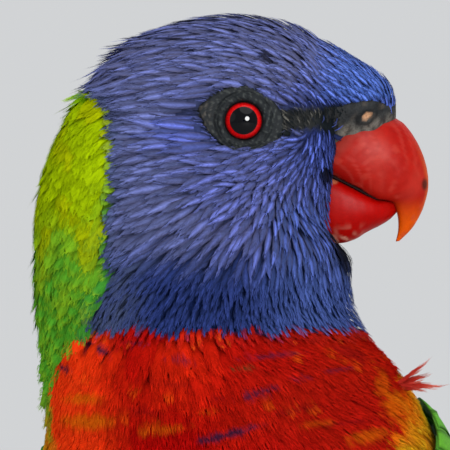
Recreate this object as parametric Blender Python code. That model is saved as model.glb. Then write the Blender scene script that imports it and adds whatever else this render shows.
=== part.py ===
"""A life-size rainbow lorikeet that stands on the floor and looks over its left shoulder.

Frame: metres, +Z up. The breast faces -Y, the bird's left side is +X and the tail runs back along +Y.
Lengths in the tables are in millimetres and are scaled by MM where they are read.
"Share" is a part of a whole length, from 0 to 1.
"""

import math

import bmesh
import bpy
import numpy as np
from mathutils import Vector

MM = 0.001
GAP = 0.3 * MM

# Driving sizes of the bird
EYE_LEVEL = 140.0 * MM
HEAD_TURN = math.radians(110)
EYE_MIDPOINT = Vector((2.35, -11.3, 0)) * MM
EYE_BALL_RADIUS = 4.0 * MM
EYE_OPENING_RADIUS = 3.05 * MM
EYE_CENTRE_ASIDE = 10.7 * MM
LID_RADIUS = 0.75 * MM
TAIL_SLOPE = math.radians(10.5)
TOE_RADIUS = 2.1 * MM
CLAW_LENGTH = 7.0 * MM
CLAW_RADIUS = 1.25 * MM
FLOOR_BLOCK = 90.0 * MM

# Squareness of an oval's cross-section: 2 is a plain ellipse
FULL_OVAL = 2.12
BILL_OVAL = 2.3

# Places in millimetres: forward, aside and up
ANKLE = (-8.0, 18.5, 5.6)
NOSTRIL = (20.0, 7.3, 1.4)
TAIL_ROOT = (-70.0, 0.0, 27.2)

# How finely each form is cut: rings along it and points round it
HEAD_CUTS = (23, 24)
NECK_CUTS = (14, 26)
TORSO_CUTS = (18, 28)
UPPER_BILL_CUTS = (16, 14)
LOWER_BILL_CUTS = (9, 12)
EYE_CUTS = (8, 14)
LID_CUTS = (18, 5)

# The exact solver leaves open edges where these rounded forms meet at a shallow angle
CLOSE_FIT_SOLVER = "MANIFOLD"

# Axes of the turned head: towards the bill, towards the bird's own left, and up
HEAD_FORWARD = Vector((math.sin(HEAD_TURN), -math.cos(HEAD_TURN), 0))
HEAD_LEFT = Vector((math.cos(HEAD_TURN), math.sin(HEAD_TURN), 0))
UP = Vector((0, 0, 1))
ASIDE = Vector((1, 0, 0))
HEAD_ORIGIN = EYE_MIDPOINT + EYE_LEVEL * UP

# Head, cut across its length: forward of the eyes, top, underside, half width
HEAD_STATIONS = [
    (-26.2, 0.5, -3.5, 2.6),
    (-24.9, 5.6, -8.5, 7.0),
    (-22.6, 9.1, -12.5, 10.4),
    (-19.1, 12.2, -16.0, 12.8),
    (-14.4, 14.7, -18.5, 14.5),
    (-9.0, 16.4, -20.0, 15.2),
    (-3.0, 17.2, -21.0, 14.9),
    (3.0, 16.9, -21.0, 14.2),
    (7.5, 15.8, -20.8, 13.2),
    (11.0, 14.4, -20.4, 11.8),
    (13.3, 13.2, -19.9, 9.8),
    (14.2, 12.6, -9.0, 8.9),
    (16.0, 11.4, -3.4, 8.3),
    (18.6, 9.9, -2.2, 7.7),
    (21.2, 8.2, -1.4, 6.9),
    (23.2, 6.8, 0.3, 5.6),
    (24.4, 4.9, 1.2, 3.8),
]

# Neck, cut level: height over the eyes, back edge, front edge, half width, shift to the head's left
NECK_STATIONS = [
    (5.6, -25.2, -15.0, 5.5, 0.0),
    (2.8, -27.0, -8.0, 11.0, 0.0),
    (-2.7, -30.0, 0.0, 15.8, 0.0),
    (-7.8, -32.2, 6.0, 18.2, 0.0),
    (-14.5, -33.6, 12.4, 19.8, 0.0),
    (-21.6, -33.6, 17.4, 21.0, 0.2),
    (-28.5, -33.8, 17.2, 22.4, 0.6),
    (-33.5, -33.5, 19.5, 24.2, 1.2),
    (-38.0, -33.1, 22.8, 26.4, 1.8),
    (-43.0, -32.4, 26.0, 28.0, 2.2),
    (-48.5, -32.4, 25.0, 27.6, 2.2),
    (-55.0, -29.0, 19.0, 22.0, 2.2),
]

# Torso, cut across its axis from the tail up: forward, height, slope of the axis in degrees, half width,
# depth to the back, depth to the belly
TORSO_STATIONS = [
    (-77.0, 25.6, 12, 5.5, 3.4, 3.8),
    (-70.0, 28.0, 18, 12.0, 7.5, 8.0),
    (-58.0, 32.0, 25, 18.5, 12.5, 12.5),
    (-42.0, 40.0, 32, 25.5, 20.0, 18.5),
    (-22.0, 52.0, 38, 31.0, 27.0, 25.0),
    (-3.0, 67.0, 45, 33.8, 31.0, 29.5),
    (9.0, 82.0, 55, 32.9, 30.0, 28.5),
    (13.0, 95.0, 70, 28.6, 26.5, 25.5),
    (12.0, 104.0, 80, 20.2, 20.0, 19.5),
    (11.0, 108.5, 85, 10.5, 10.0, 9.5),
]

# The surface that the folded wing lies on: the torso's own stations, run on above the tail
WING_STATIONS = [
    (-112.0, 22.5, 9, 7.0, 6.0, 5.0),
    (-96.0, 25.0, 11, 10.5, 8.0, 6.0),
    (-80.0, 28.0, 14, 14.5, 10.0, 8.0),
    (-62.0, 33.0, 24, 20.0, 14.5, 12.0),
    *TORSO_STATIONS[3:7],
    (11.0, 89.0, 62, 30.4, 28.0, 27.0),
]

# Where the wing's upper and lower edges run, in degrees round the body from the mid back, from wrist to tip
WING_EDGES = [
    (0.00, 84, 100),
    (0.03, 70, 107),
    (0.09, 54, 112),
    (0.18, 38, 114),
    (0.35, 26, 112),
    (0.55, 22, 102),
    (0.75, 26, 88),
    (0.90, 36, 74),
    (1.00, 50, 62),
]

# How far the wing's top surface stands off the body, by share of the wing's length
WING_RISE = [(0.0, 1.2), (0.05, 2.2), (0.15, 3.2), (0.3, 3.2), (0.5, 2.7), (0.7, 2.0), (1.0, 1.3)]
WING_CORE_SHARE = 0.62
VANE_THICKNESS = 0.9 * MM
VANE_TILT = 0.33 * MM
VANE_LIFT_STEP = 0.07

# Share of a vane's length and of its half width at each of its cuts
FLIGHT_PROFILE = [(0.0, 0.80), (0.40, 1.0), (0.76, 0.90), (0.94, 0.50), (1.0, 0.15)]
COVERT_PROFILE = [(0.0, 0.80), (0.55, 1.0), (0.86, 0.72), (1.0, 0.22)]
TAIL_PROFILE = [(0.0, 0.80), (0.36, 1.0), (0.70, 0.88), (0.91, 0.42), (1.0, 0.07)]

# Rows of vanes on a wing, from the lowest tier up: count, then for the uppermost and the lowest vane of the
# row the share of the wing's length at the root and at the tip, and the place across the wing at the root and
# at the tip, from 0 at the upper edge to 1. Then half width, height over the wing's top surface, and profile
WING_ROWS = [
    ("primary", 7, (0.44, 0.36), (0.78, 1.00), (0.44, 0.94), (0.28, 0.72), 4.6, -1.0, FLIGHT_PROFILE),
    ("secondary", 6, (0.26, 0.30), (0.74, 0.60), (0.07, 0.90), (0.11, 0.88), 5.6, -0.1, FLIGHT_PROFILE),
    ("greater_covert", 6, (0.17, 0.17), (0.43, 0.40), (0.08, 0.92), (0.09, 0.91), 6.0, 0.4, COVERT_PROFILE),
    ("median_covert", 5, (0.09, 0.09), (0.28, 0.26), (0.13, 0.88), (0.11, 0.89), 6.2, 0.8, COVERT_PROFILE),
]

# Tail feathers in pairs from the middle out: length, and how far aside the root and the tip are
TAIL_PAIRS = [
    (124.0, 2.2, 1.3),
    (117.0, 3.1, 3.0),
    (106.5, 4.0, 4.8),
    (94.0, 4.9, 6.5),
    (81.0, 5.8, 7.9),
    (68.0, 6.7, 9.0),
]
TAIL_VANE_HALF_WIDTH = 5.4
TAIL_VANE_STEP = 0.5 * MM
TAIL_SIDE_STEP = 0.12 * MM

# The block that the tail feathers root in: distance back, half width, half thickness
TAIL_BLOCK = [(0, 6.5, 1.9), (10, 9.0, 2.0), (24, 10.0, 1.8), (38, 9.0, 1.0)]

# Upper mandible, culmen point, edge point and half width at each cut, in the head's side view
UPPER_BILL_STATIONS = [
    (16.5, 4.6, 11.5, -7.6, 5.4),
    (21.5, 3.4, 13.2, -8.4, 6.3),
    (24.2, 1.0, 15.0, -9.2, 6.6),
    (26.2, -0.4, 17.0, -10.2, 6.5),
    (28.0, -2.8, 18.9, -11.1, 6.1),
    (29.3, -5.5, 20.5, -12.1, 5.5),
    (30.0, -8.2, 21.8, -12.7, 4.8),
    (30.1, -10.7, 23.1, -12.8, 4.0),
    (29.6, -13.0, 24.4, -13.3, 3.1),
    (28.8, -15.1, 25.1, -15.3, 2.2),
    (27.4, -17.4, 25.2, -17.5, 1.3),
    (25.4, -19.4, 24.8, -19.5, 0.5),
]

# Lower mandible, edge point, underside point and half width at each cut, in the head's side view
LOWER_BILL_STATIONS = [
    (11.0, -8.8, 11.0, -19.0, 5.0),
    (14.4, -9.4, 14.8, -19.8, 5.6),
    (17.2, -10.9, 17.8, -19.3, 5.5),
    (19.6, -12.3, 20.2, -17.9, 5.0),
    (21.6, -13.2, 22.2, -16.9, 4.2),
    (23.2, -13.4, 23.7, -15.9, 3.0),
    (24.3, -13.9, 24.6, -14.8, 1.2),
]

# Thigh and shank: forward, aside and height of each cut, and its radius
THIGH_PATH = [
    ((-5.0, 14.0, 48.0), 12.0),
    ((-8.5, 15.5, 41.0), 13.5),
    ((-12.5, 17.3, 33.0), 11.8),
    ((-15.5, 18.2, 26.0), 8.4),
    ((-17.0, 18.4, 20.5), 5.3),
    ((-17.4, 18.5, 17.5), 3.4),
]
SHANK_PATH = [
    ((-17.6, 18.6, 23.0), 2.3),
    ((-16.4, 18.6, 18.0), 2.5),
    ((-13.0, 18.6, 11.5), 2.2),
    ((-8.4, 18.5, 5.4), 2.9),
    ((-7.0, 18.5, 3.2), 2.6),
]

# A toe's pads: share of its length, height of its middle, and radius as a share of the toe's own
TOE_PADS = [(-0.05, 4.9, 1.02), (0.18, 2.9, 1.1), (0.36, 1.95, 1.0), (0.52, 1.85, 1.08), (0.70, 1.75, 0.92),
            (0.86, 1.75, 0.98), (1.0, 1.8, 0.70)]

# The roots of the toes sit at slightly different heights in the ankle, so that no two of their end faces meet
TOE_STEP = 0.17

# Toes of the left foot: angle in degrees from straight ahead towards the outside, and length
TOES = [
    ("inner_front", -13, 15.0),
    ("outer_front", 15, 19.5),
    ("outer_back", 150, 16.5),
    ("inner_back", 199, 11.0),
]


def clear_scene():
    for item in list(bpy.data.objects):
        bpy.data.objects.remove(item)


def material(name, colour, roughness, coat=0.0):
    made = bpy.data.materials.new(name)
    made.use_nodes = True
    shader = made.node_tree.nodes["Principled BSDF"]
    shader.inputs["Base Color"].default_value = (*colour, 1.0)
    shader.inputs["Roughness"].default_value = roughness
    shader.inputs["Coat Weight"].default_value = coat
    return made


# Curves through stations

def between(rows, place):
    """The row at a fractional index of a station table, on a smooth curve through its rows."""
    rows = np.asarray(rows, float)
    last = len(rows) - 1
    place = min(max(place, 0.0), last)
    i = min(int(place), last - 1)
    t = place - i
    p0 = rows[i - 1] if i > 0 else 2 * rows[0] - rows[1]
    p3 = rows[i + 2] if i + 2 <= last else 2 * rows[last] - rows[last - 1]
    p1, p2 = rows[i], rows[i + 1]
    cubic = 3 * (p1 - p2) + p3 - p0
    square = 2 * p0 - 5 * p1 + 4 * p2 - p3
    return p1 + 0.5 * t * (p2 - p0 + t * (square + t * cubic))


def along(rows, count):
    """A station table read at evenly spaced places."""
    return [between(rows, place) for place in np.linspace(0, len(rows) - 1, count)]


def edge_angles(share):
    """The wing's upper and lower edge at a share of its length, in radians."""
    shares, upper, lower = zip(*WING_EDGES)
    return math.radians(np.interp(share, shares, upper)), math.radians(np.interp(share, shares, lower))


# Meshes

def node_from(name, points, faces, finish):
    mesh = bpy.data.meshes.new(name)
    mesh.from_pydata([tuple(p) for p in points], [], faces)
    made = bpy.data.objects.new(name, mesh)
    bpy.context.scene.collection.objects.link(made)
    if finish:
        mesh.materials.append(finish)
    face_outwards(mesh)
    return made


def face_outwards(mesh):
    """Splits a mesh into triangles and turns its faces out."""
    work = bmesh.new()
    work.from_mesh(mesh)
    bmesh.ops.triangulate(work, faces=work.faces)
    bmesh.ops.recalc_face_normals(work, faces=work.faces)
    if work.calc_volume(signed=True) < 0:
        bmesh.ops.reverse_faces(work, faces=work.faces)
    work.to_mesh(mesh)
    work.free()


def loft(name, rings, finish=None):
    """A closed mesh through rings of equal count, with a flat cap on each end."""
    count = len(rings[0])
    points = [p for ring in rings for p in ring]
    faces = [tuple(range(count))]
    for i in range(len(rings) - 1):
        for j in range(count):
            k = (j + 1) % count
            faces.append((i * count + j, i * count + k, (i + 1) * count + k, (i + 1) * count + j))
    faces.append(tuple((len(rings) - 1) * count + j for j in range(count)))
    return node_from(name, points, faces, finish)


def oval(centre, aside, upwards, half_width, rise, drop, count, fullness=2.0):
    """A ring round a centre. Fullness over 2 squares it off, and its rise and drop may differ."""
    ring = []
    for j in range(count):
        angle = 2 * math.pi * j / count
        c, s = math.cos(angle), math.sin(angle)
        x = math.copysign(abs(s) ** (2 / fullness), s) * half_width
        y = math.copysign(abs(c) ** (2 / fullness), c) * (rise if c > 0 else drop)
        ring.append(centre + aside * x + upwards * y)
    return ring


def tube(name, path, radii, count, finish=None):
    """A round tube along a path."""
    rings = []
    for i, centre in enumerate(path):
        ahead = (path[min(i + 1, len(path) - 1)] - path[max(i - 1, 0)]).normalized()
        reference = UP if abs(ahead.z) < 0.9 else Vector((0, 1, 0))
        aside = ahead.cross(reference).normalized()
        upwards = aside.cross(ahead).normalized()
        rings.append(oval(centre, aside, upwards, radii[i], radii[i], radii[i], count))
    return loft(name, rings, finish)


def evaluated_mesh(item):
    bpy.context.view_layer.update()
    graph = bpy.context.evaluated_depsgraph_get()
    return bpy.data.meshes.new_from_object(item.evaluated_get(graph), depsgraph=graph)


def settle(item):
    """Applies the object's modifiers and keeps only its largest closed surface."""
    mesh = evaluated_mesh(item)
    item.modifiers.clear()
    item.data = mesh
    work = bmesh.new()
    work.from_mesh(mesh)
    groups = []
    waiting = set(work.verts)
    while waiting:
        seed = waiting.pop()
        group, front = {seed}, [seed]
        while front:
            vertex = front.pop()
            for edge in vertex.link_edges:
                other = edge.other_vert(vertex)
                if other in waiting:
                    waiting.discard(other)
                    group.add(other)
                    front.append(other)
        groups.append(group)
    keep = max(groups, key=spread)
    bmesh.ops.delete(work, geom=[v for v in work.verts if v not in keep], context="VERTS")
    work.to_mesh(mesh)
    work.free()


def spread(group):
    """The diagonal of a group of vertices, to tell the main surface from scraps."""
    places = np.array([v.co for v in group])
    return float(np.linalg.norm(places.max(0) - places.min(0)))


def swollen(item):
    """A copy of an object, grown by the gap along its normals, to cut what sits against it."""
    mesh = evaluated_mesh(item)
    face_outwards(mesh)
    normals = [v.normal.copy() for v in mesh.vertices]
    for vertex, normal in zip(mesh.vertices, normals):
        vertex.co += normal * GAP
    made = bpy.data.objects.new(item.name + "_cutter", mesh)
    bpy.context.scene.collection.objects.link(made)
    return made


def carve(item, cutters, solver="EXACT"):
    """Takes each cutter out of an object and removes the cutter."""
    for cutter in cutters:
        cut = item.modifiers.new("cut", "BOOLEAN")
        cut.operation = "DIFFERENCE"
        cut.solver = solver
        cut.object = cutter
        settle(item)
        bpy.data.objects.remove(cutter)


def cut_by(item, others, solver="EXACT"):
    """Takes each other object, grown by the gap, out of this one."""
    carve(item, [swollen(other) for other in others], solver)


def united(item, others, solver="EXACT"):
    """Joins closed mesh objects into this one with a single union."""
    group = bpy.data.collections.new(item.name + "_pieces")
    for other in others:
        for owner in list(other.users_collection):
            owner.objects.unlink(other)
        group.objects.link(other)
    join = item.modifiers.new("join", "BOOLEAN")
    join.operation = "UNION"
    join.operand_type = "COLLECTION"
    join.solver = solver
    join.collection = group
    settle(item)
    for other in others:
        bpy.data.objects.remove(other)
    bpy.data.collections.remove(group)
    return item


# Places on the bird

def head_point(forward, aside, height):
    """A point given in the turned head's own directions from between the eyes, in millimetres."""
    return HEAD_ORIGIN + (HEAD_FORWARD * forward + HEAD_LEFT * aside + UP * height) * MM


def body_point(forward, aside, height):
    """A point given forward, to the bird's left and up from the floor, in millimetres."""
    return Vector((aside, -forward, height)) * MM


def body_ring_frame(row):
    """Centre, direction to the back and sizes in metres for one row of torso stations."""
    forward, height, slope, half_width, back, belly = row
    slope = math.radians(slope)
    dorsal = Vector((0, math.sin(slope), math.cos(slope)))
    return body_point(forward, 0, height), dorsal, half_width * MM, back * MM, belly * MM


def wing_point(share, angle, out, side):
    """A point over the flank: share from wrist to tip, angle from the mid back, out off the body."""
    row = between(WING_STATIONS, (1 - share) * (len(WING_STATIONS) - 1))
    centre, dorsal, half_width, back, belly = body_ring_frame(row)
    c, s = math.cos(angle), math.sin(angle)
    depth = back if c > 0 else belly
    return centre + ASIDE * side * (half_width + out) * s + dorsal * (depth + out) * c


# Head, neck and torso

def make_head(finish):
    rings = []
    for forward, top, bottom, half_width in along(HEAD_STATIONS, HEAD_CUTS[0]):
        middle = 0.5 * (top + bottom)
        rings.append(oval(head_point(forward, 0, middle), HEAD_LEFT, UP, half_width * MM,
                          (top - middle) * MM, (middle - bottom) * MM, HEAD_CUTS[1], FULL_OVAL))
    return loft("head", rings, finish)


def make_neck(finish):
    rings = []
    for height, back, front, half_width, shift in along(NECK_STATIONS, NECK_CUTS[0]):
        centre = head_point(0.5 * (back + front), shift, height)
        reach = 0.5 * (front - back) * MM
        rings.append(oval(centre, HEAD_LEFT, HEAD_FORWARD, half_width * MM, reach, reach, NECK_CUTS[1]))
    return loft("neck", rings, finish)


def make_torso(finish):
    rings = []
    for row in along(TORSO_STATIONS, TORSO_CUTS[0]):
        centre, dorsal, half_width, back, belly = body_ring_frame(row)
        rings.append(oval(centre, ASIDE, dorsal, half_width, back, belly, TORSO_CUTS[1], FULL_OVAL))
    return loft("torso", rings, finish)


def leg_tube(side, name, cuts, count, finish):
    """A tube through cuts that give forward, aside and height of its middle, and its radius."""
    path = [body_point(forward, side * aside, height) for (forward, aside, height), _ in cuts]
    return tube(name, path, [radius * MM for _, radius in cuts], count, finish)


# Eyes and lids

def eye_centre(side):
    return HEAD_ORIGIN + HEAD_LEFT * side * EYE_CENTRE_ASIDE


def make_eye(side, name, finish):
    rings = []
    rows, count = EYE_CUTS
    for step in range(1, rows + 1):
        angle = math.pi * step / (rows + 1)
        centre = eye_centre(side) - HEAD_LEFT * side * math.cos(angle) * EYE_BALL_RADIUS
        radius = math.sin(angle) * EYE_BALL_RADIUS
        rings.append(oval(centre, HEAD_FORWARD, UP, radius, radius, radius, count))
    return loft(name, rings, finish)


def make_lid_ring(side):
    """The raised rim of bare skin round the eye's opening."""
    seat = math.sqrt(EYE_BALL_RADIUS ** 2 - EYE_OPENING_RADIUS ** 2)
    centre = eye_centre(side) + HEAD_LEFT * side * seat
    rim_radius = EYE_OPENING_RADIUS + 1.13 * LID_RADIUS
    points, faces = [], []
    around, across = LID_CUTS
    for i in range(around):
        turn = 2 * math.pi * i / around
        spoke = HEAD_FORWARD * math.cos(turn) + UP * math.sin(turn)
        for j in range(across):
            roll = 2 * math.pi * j / across
            points.append(centre + spoke * (rim_radius + LID_RADIUS * math.cos(roll))
                          + HEAD_LEFT * side * LID_RADIUS * math.sin(roll))
            k, m = (i + 1) % around, (j + 1) % across
            faces.append((i * across + j, k * across + j, k * across + m, i * across + m))
    return node_from("lid", points, faces, None)


def make_nostril_cutter(side):
    """A shallow oval pit in the bare skin over the bill."""
    forward, aside, height = NOSTRIL
    rings = []
    for angle in np.linspace(0, math.pi, 7)[1:-1]:
        centre = head_point(forward, side * (aside - 1.1 * math.cos(angle)), height)
        half_length, half_height = 1.0 * MM * math.sin(angle), 0.75 * MM * math.sin(angle)
        rings.append(oval(centre, HEAD_FORWARD, UP, half_length, half_height, half_height, 10))
    return loft("nostril", rings)


# Bill

def make_upper_bill(finish):
    rings = []
    for top_u, top_w, edge_u, edge_w, half_width in along(UPPER_BILL_STATIONS, UPPER_BILL_CUTS[0]):
        top, edge = head_point(top_u, 0, top_w), head_point(edge_u, 0, edge_w)
        upwards = (top - edge).normalized()
        depth = (top - edge).length
        centre = edge + upwards * depth * 0.42
        rings.append(oval(centre, HEAD_LEFT, upwards, half_width * MM, depth * 0.58, depth * 0.42,
                          UPPER_BILL_CUTS[1], BILL_OVAL))
    return loft("bill_upper", rings, finish)


def make_lower_bill(finish):
    rings = []
    for edge_u, edge_w, low_u, low_w, half_width in along(LOWER_BILL_STATIONS, LOWER_BILL_CUTS[0]):
        edge, low = head_point(edge_u, 0, edge_w), head_point(low_u, 0, low_w)
        upwards = (edge - low).normalized()
        depth = (edge - low).length
        centre = low + upwards * depth * 0.62
        rings.append(oval(centre, HEAD_LEFT, upwards, half_width * MM, depth * 0.38, depth * 0.62,
                          LOWER_BILL_CUTS[1], BILL_OVAL))
    return loft("bill_lower", rings, finish)


# Feet

def make_foot(side, name, finish):
    shank = leg_tube(side, name, SHANK_PATH, 9, finish)
    ankle = body_point(ANKLE[0], side * ANKLE[1], 0)
    toes = []
    for order, (label, turn, length) in enumerate(TOES):
        direction = toe_direction(side, turn)
        path, radii = [], []
        for share, height, radius in TOE_PADS:
            level = height - TOE_STEP * order if share < 0 else height
            path.append(ankle + direction * share * length * MM + UP * level * MM)
            radii.append(radius * TOE_RADIUS)
        toes.append(tube(label, path, radii, 8))
    united(shank, toes, CLOSE_FIT_SOLVER)
    carve(shank, [make_floor_block()], CLOSE_FIT_SOLVER)
    return shank


def make_floor_block():
    """Everything under the floor level: taking it out of a foot leaves small flats to stand on."""
    square = ((-1, -1), (1, -1), (1, 1), (-1, 1))
    rings = [[Vector((x, y, z)) * FLOOR_BLOCK for x, y in square] for z in (-1, 0)]
    return loft("floor_block", rings)


def toe_direction(side, turn):
    turn = math.radians(turn)
    return Vector((side * math.sin(turn), -math.cos(turn), 0))


def make_claw(side, name, turn, length, finish):
    """A claw that leaves the toe's end level, rises a little and curves down to its point."""
    direction = toe_direction(side, turn)
    start = body_point(ANKLE[0], side * ANKLE[1], 2.3) + direction * (length - 1.2) * MM
    path, radii = [], []
    for share in np.linspace(0.0, 1.0, 5):
        ahead = CLAW_LENGTH * 0.91 * math.sin(share * 1.25)
        rise = (1.5 * math.sin(share * 0.8 * math.pi) - 2.0 * share ** 2.2) * MM
        path.append(start + direction * ahead + UP * rise)
        radii.append(CLAW_RADIUS * ((1 - share) ** 0.7 + 0.14))
    return tube(name, path, radii, 7, finish)


# Wings and tail

def wing_rise(share):
    shares, rises = zip(*WING_RISE)
    return float(np.interp(share, shares, rises)) * MM


def wing_reach(share, angle, side):
    """Distance from the body's axis to the flank, to turn widths into angles."""
    row = between(WING_STATIONS, (1 - share) * (len(WING_STATIONS) - 1))
    return (wing_point(share, angle, 0, side) - body_ring_frame(row)[0]).length


def make_wing_core(side, name, finish):
    """The smooth base plate of the folded wing, from its wrist to where only feathers go on."""
    rings = []
    for share in np.linspace(0.0, WING_CORE_SHARE, 9):
        upper, lower = edge_angles(share)
        outer = wing_rise(share)
        inner = np.interp(share, (0, 0.5, WING_CORE_SHARE), (-1.5, -0.6, 0.9)) * MM
        angles = np.linspace(upper, lower, 6)
        ring = [wing_point(share, a, outer * (1 if 0 < i < 5 else 0.55), side) for i, a in enumerate(angles)]
        ring += [wing_point(share, a, inner, side) for a in angles[::-1]]
        rings.append(ring)
    return loft(name, rings, finish)


def make_wing_vane(side, name, root, tip, half_width, lift, profile):
    """One flat feather on the flank. Root and tip give the share of the wing's length and the place across.

    Its lower edge is raised by the tilt, so that it covers the upper edge of the feather below.
    """
    rings = []
    for part, fullness in profile:
        share = root[0] + (tip[0] - root[0]) * part
        upper, lower = edge_angles(share)
        middle = upper + (lower - upper) * (root[1] + (tip[1] - root[1]) * part)
        half_angle = half_width * fullness * MM / wing_reach(share, middle, side)
        height = wing_rise(share) + lift * MM * min(1.0, 0.25 + part)
        ring = []
        for edge, drop in ((-1, 0), (1, 0), (1, 1), (-1, 1)):
            out = height + edge * VANE_TILT - drop * VANE_THICKNESS
            ring.append(wing_point(share, middle + edge * half_angle, out, side))
        rings.append(ring)
    return loft(name, rings)


def make_wing(side, name, finish):
    wing = make_wing_core(side, name, finish)
    vanes = []
    for row, count, roots, tips, root_places, tip_places, half_width, lift, profile in WING_ROWS:
        for i in range(count):
            down = i / (count - 1)
            root = (np.interp(down, (0, 1), roots), np.interp(down, (0, 1), root_places))
            tip = (np.interp(down, (0, 1), tips), np.interp(down, (0, 1), tip_places))
            vane_lift = lift - VANE_LIFT_STEP * i
            vanes.append(make_wing_vane(side, f"{row}_{i}", root, tip, half_width, vane_lift, profile))
    return united(wing, vanes, CLOSE_FIT_SOLVER)


def make_tail(finish):
    """Twelve graduated feathers on a short root block, the middle pair longest and on top."""
    root = body_point(*TAIL_ROOT)
    back = Vector((0, math.cos(TAIL_SLOPE), -math.sin(TAIL_SLOPE)))
    upwards = Vector((0, math.sin(TAIL_SLOPE), math.cos(TAIL_SLOPE)))
    rings = []
    for behind, half_width, thick in TAIL_BLOCK:
        centre = root + (back * behind - upwards * 1.4) * MM
        rings.append(oval(centre, ASIDE, upwards, half_width * MM, thick * MM, thick * MM, 12, 2.6))
    tail = loft("tail", rings, finish)
    vanes = []
    for order, (length, root_aside, tip_aside) in enumerate(TAIL_PAIRS):
        for side in (1, -1):
            rings = []
            for share, fullness in TAIL_PROFILE:
                across = side * (root_aside + (tip_aside - root_aside) * min(1.0, 1.6 * share)) * MM
                drop = order * TAIL_VANE_STEP + (TAIL_SIDE_STEP if side < 0 else 0)
                middle = root + back * (6 + length * share) * MM + ASIDE * across - upwards * drop
                reach = ASIDE * TAIL_VANE_HALF_WIDTH * fullness * MM
                half = upwards * 0.5 * VANE_THICKNESS
                rings.append([middle - reach + half, middle + reach + half, middle + reach - half,
                              middle - reach - half])
            vanes.append(loft(f"tail_vane_{order}_{side}", rings))
    return united(tail, vanes, CLOSE_FIT_SOLVER)


def centre_on_floor(nodes):
    """Moves the whole bird so that the middle of its box is over the origin."""
    bpy.context.view_layer.update()
    corners = np.array([n.matrix_world @ v.co for n in nodes for v in n.data.vertices])
    middle = 0.5 * (corners.min(0) + corners.max(0))
    shift = Vector((-middle[0], -middle[1], -corners[:, 2].min()))
    for node in nodes:
        node.data.transform(node.matrix_world)
        node.matrix_world.identity()
        for vertex in node.data.vertices:
            vertex.co += shift


def main():
    clear_scene()
    blue = material("violet_blue_plumage", (0.06, 0.07, 0.30), 0.6)
    collar = material("lime_plumage", (0.30, 0.42, 0.02), 0.6)
    red = material("scarlet_plumage", (0.50, 0.03, 0.01), 0.6)
    green = material("green_plumage", (0.06, 0.30, 0.03), 0.55)
    horn = material("red_horn", (0.60, 0.04, 0.02), 0.3, 0.3)
    iris = material("eye", (0.30, 0.01, 0.01), 0.1, 1.0)
    skin = material("grey_foot_skin", (0.12, 0.12, 0.12), 0.7)
    claw = material("dark_claw", (0.03, 0.03, 0.03), 0.35)

    eyes = [make_eye(1, "eye_left", iris), make_eye(-1, "eye_right", iris)]
    head = make_head(blue)
    united(head, [make_lid_ring(1), make_lid_ring(-1)])
    cut_by(head, eyes)
    carve(head, [make_nostril_cutter(1), make_nostril_cutter(-1)])
    torso = make_torso(red)
    neck = make_neck(collar)
    cut_by(neck, [head, torso], CLOSE_FIT_SOLVER)
    upper = make_upper_bill(horn)
    lower = make_lower_bill(horn)
    cut_by(upper, [head])
    cut_by(lower, [head, upper, neck])
    nodes = [*eyes, head, neck, torso, upper, lower]
    tail = make_tail(green)
    cut_by(tail, [torso])
    nodes.append(tail)
    for side, hand in ((1, "left"), (-1, "right")):
        thigh = leg_tube(side, f"thigh_{hand}", THIGH_PATH, 14, green)
        cut_by(thigh, [torso], CLOSE_FIT_SOLVER)
        wing = make_wing(side, f"wing_{hand}", green)
        cut_by(wing, [torso, neck, thigh], CLOSE_FIT_SOLVER)
        foot = make_foot(side, f"foot_{hand}", skin)
        cut_by(foot, [thigh], CLOSE_FIT_SOLVER)
        nodes += [wing, thigh, foot]
        for label, turn, length in TOES:
            nail = make_claw(side, f"claw_{hand}_{label}", turn, length, claw)
            cut_by(nail, [foot])
            nodes.append(nail)
    centre_on_floor(nodes)
    for node in nodes:
        node.data.shade_smooth()
        node.data.set_sharp_from_angle(angle=math.radians(40))


main()
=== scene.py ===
import math

import bmesh
import bpy
import numpy as np
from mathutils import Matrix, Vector
from mathutils.bvhtree import BVHTree
from mathutils.kdtree import KDTree


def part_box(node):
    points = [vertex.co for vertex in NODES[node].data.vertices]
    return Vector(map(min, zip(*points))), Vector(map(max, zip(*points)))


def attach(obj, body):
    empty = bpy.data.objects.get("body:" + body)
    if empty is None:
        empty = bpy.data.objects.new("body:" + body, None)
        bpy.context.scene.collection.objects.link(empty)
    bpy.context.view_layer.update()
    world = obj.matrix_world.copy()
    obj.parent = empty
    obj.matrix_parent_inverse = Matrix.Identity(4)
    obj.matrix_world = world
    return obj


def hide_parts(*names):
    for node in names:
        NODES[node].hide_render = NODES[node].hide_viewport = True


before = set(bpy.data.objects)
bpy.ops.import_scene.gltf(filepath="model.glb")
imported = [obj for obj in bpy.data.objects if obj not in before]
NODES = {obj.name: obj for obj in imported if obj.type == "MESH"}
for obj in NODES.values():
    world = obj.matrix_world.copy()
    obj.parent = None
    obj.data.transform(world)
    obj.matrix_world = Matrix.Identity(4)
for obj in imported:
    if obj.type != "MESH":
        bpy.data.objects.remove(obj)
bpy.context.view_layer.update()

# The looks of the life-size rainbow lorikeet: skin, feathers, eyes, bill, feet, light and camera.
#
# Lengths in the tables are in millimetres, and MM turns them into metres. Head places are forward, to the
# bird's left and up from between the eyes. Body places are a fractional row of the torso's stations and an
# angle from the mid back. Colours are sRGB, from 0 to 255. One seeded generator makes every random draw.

MM = 0.001
BODY = "root"
rng = np.random.default_rng(11)

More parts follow.
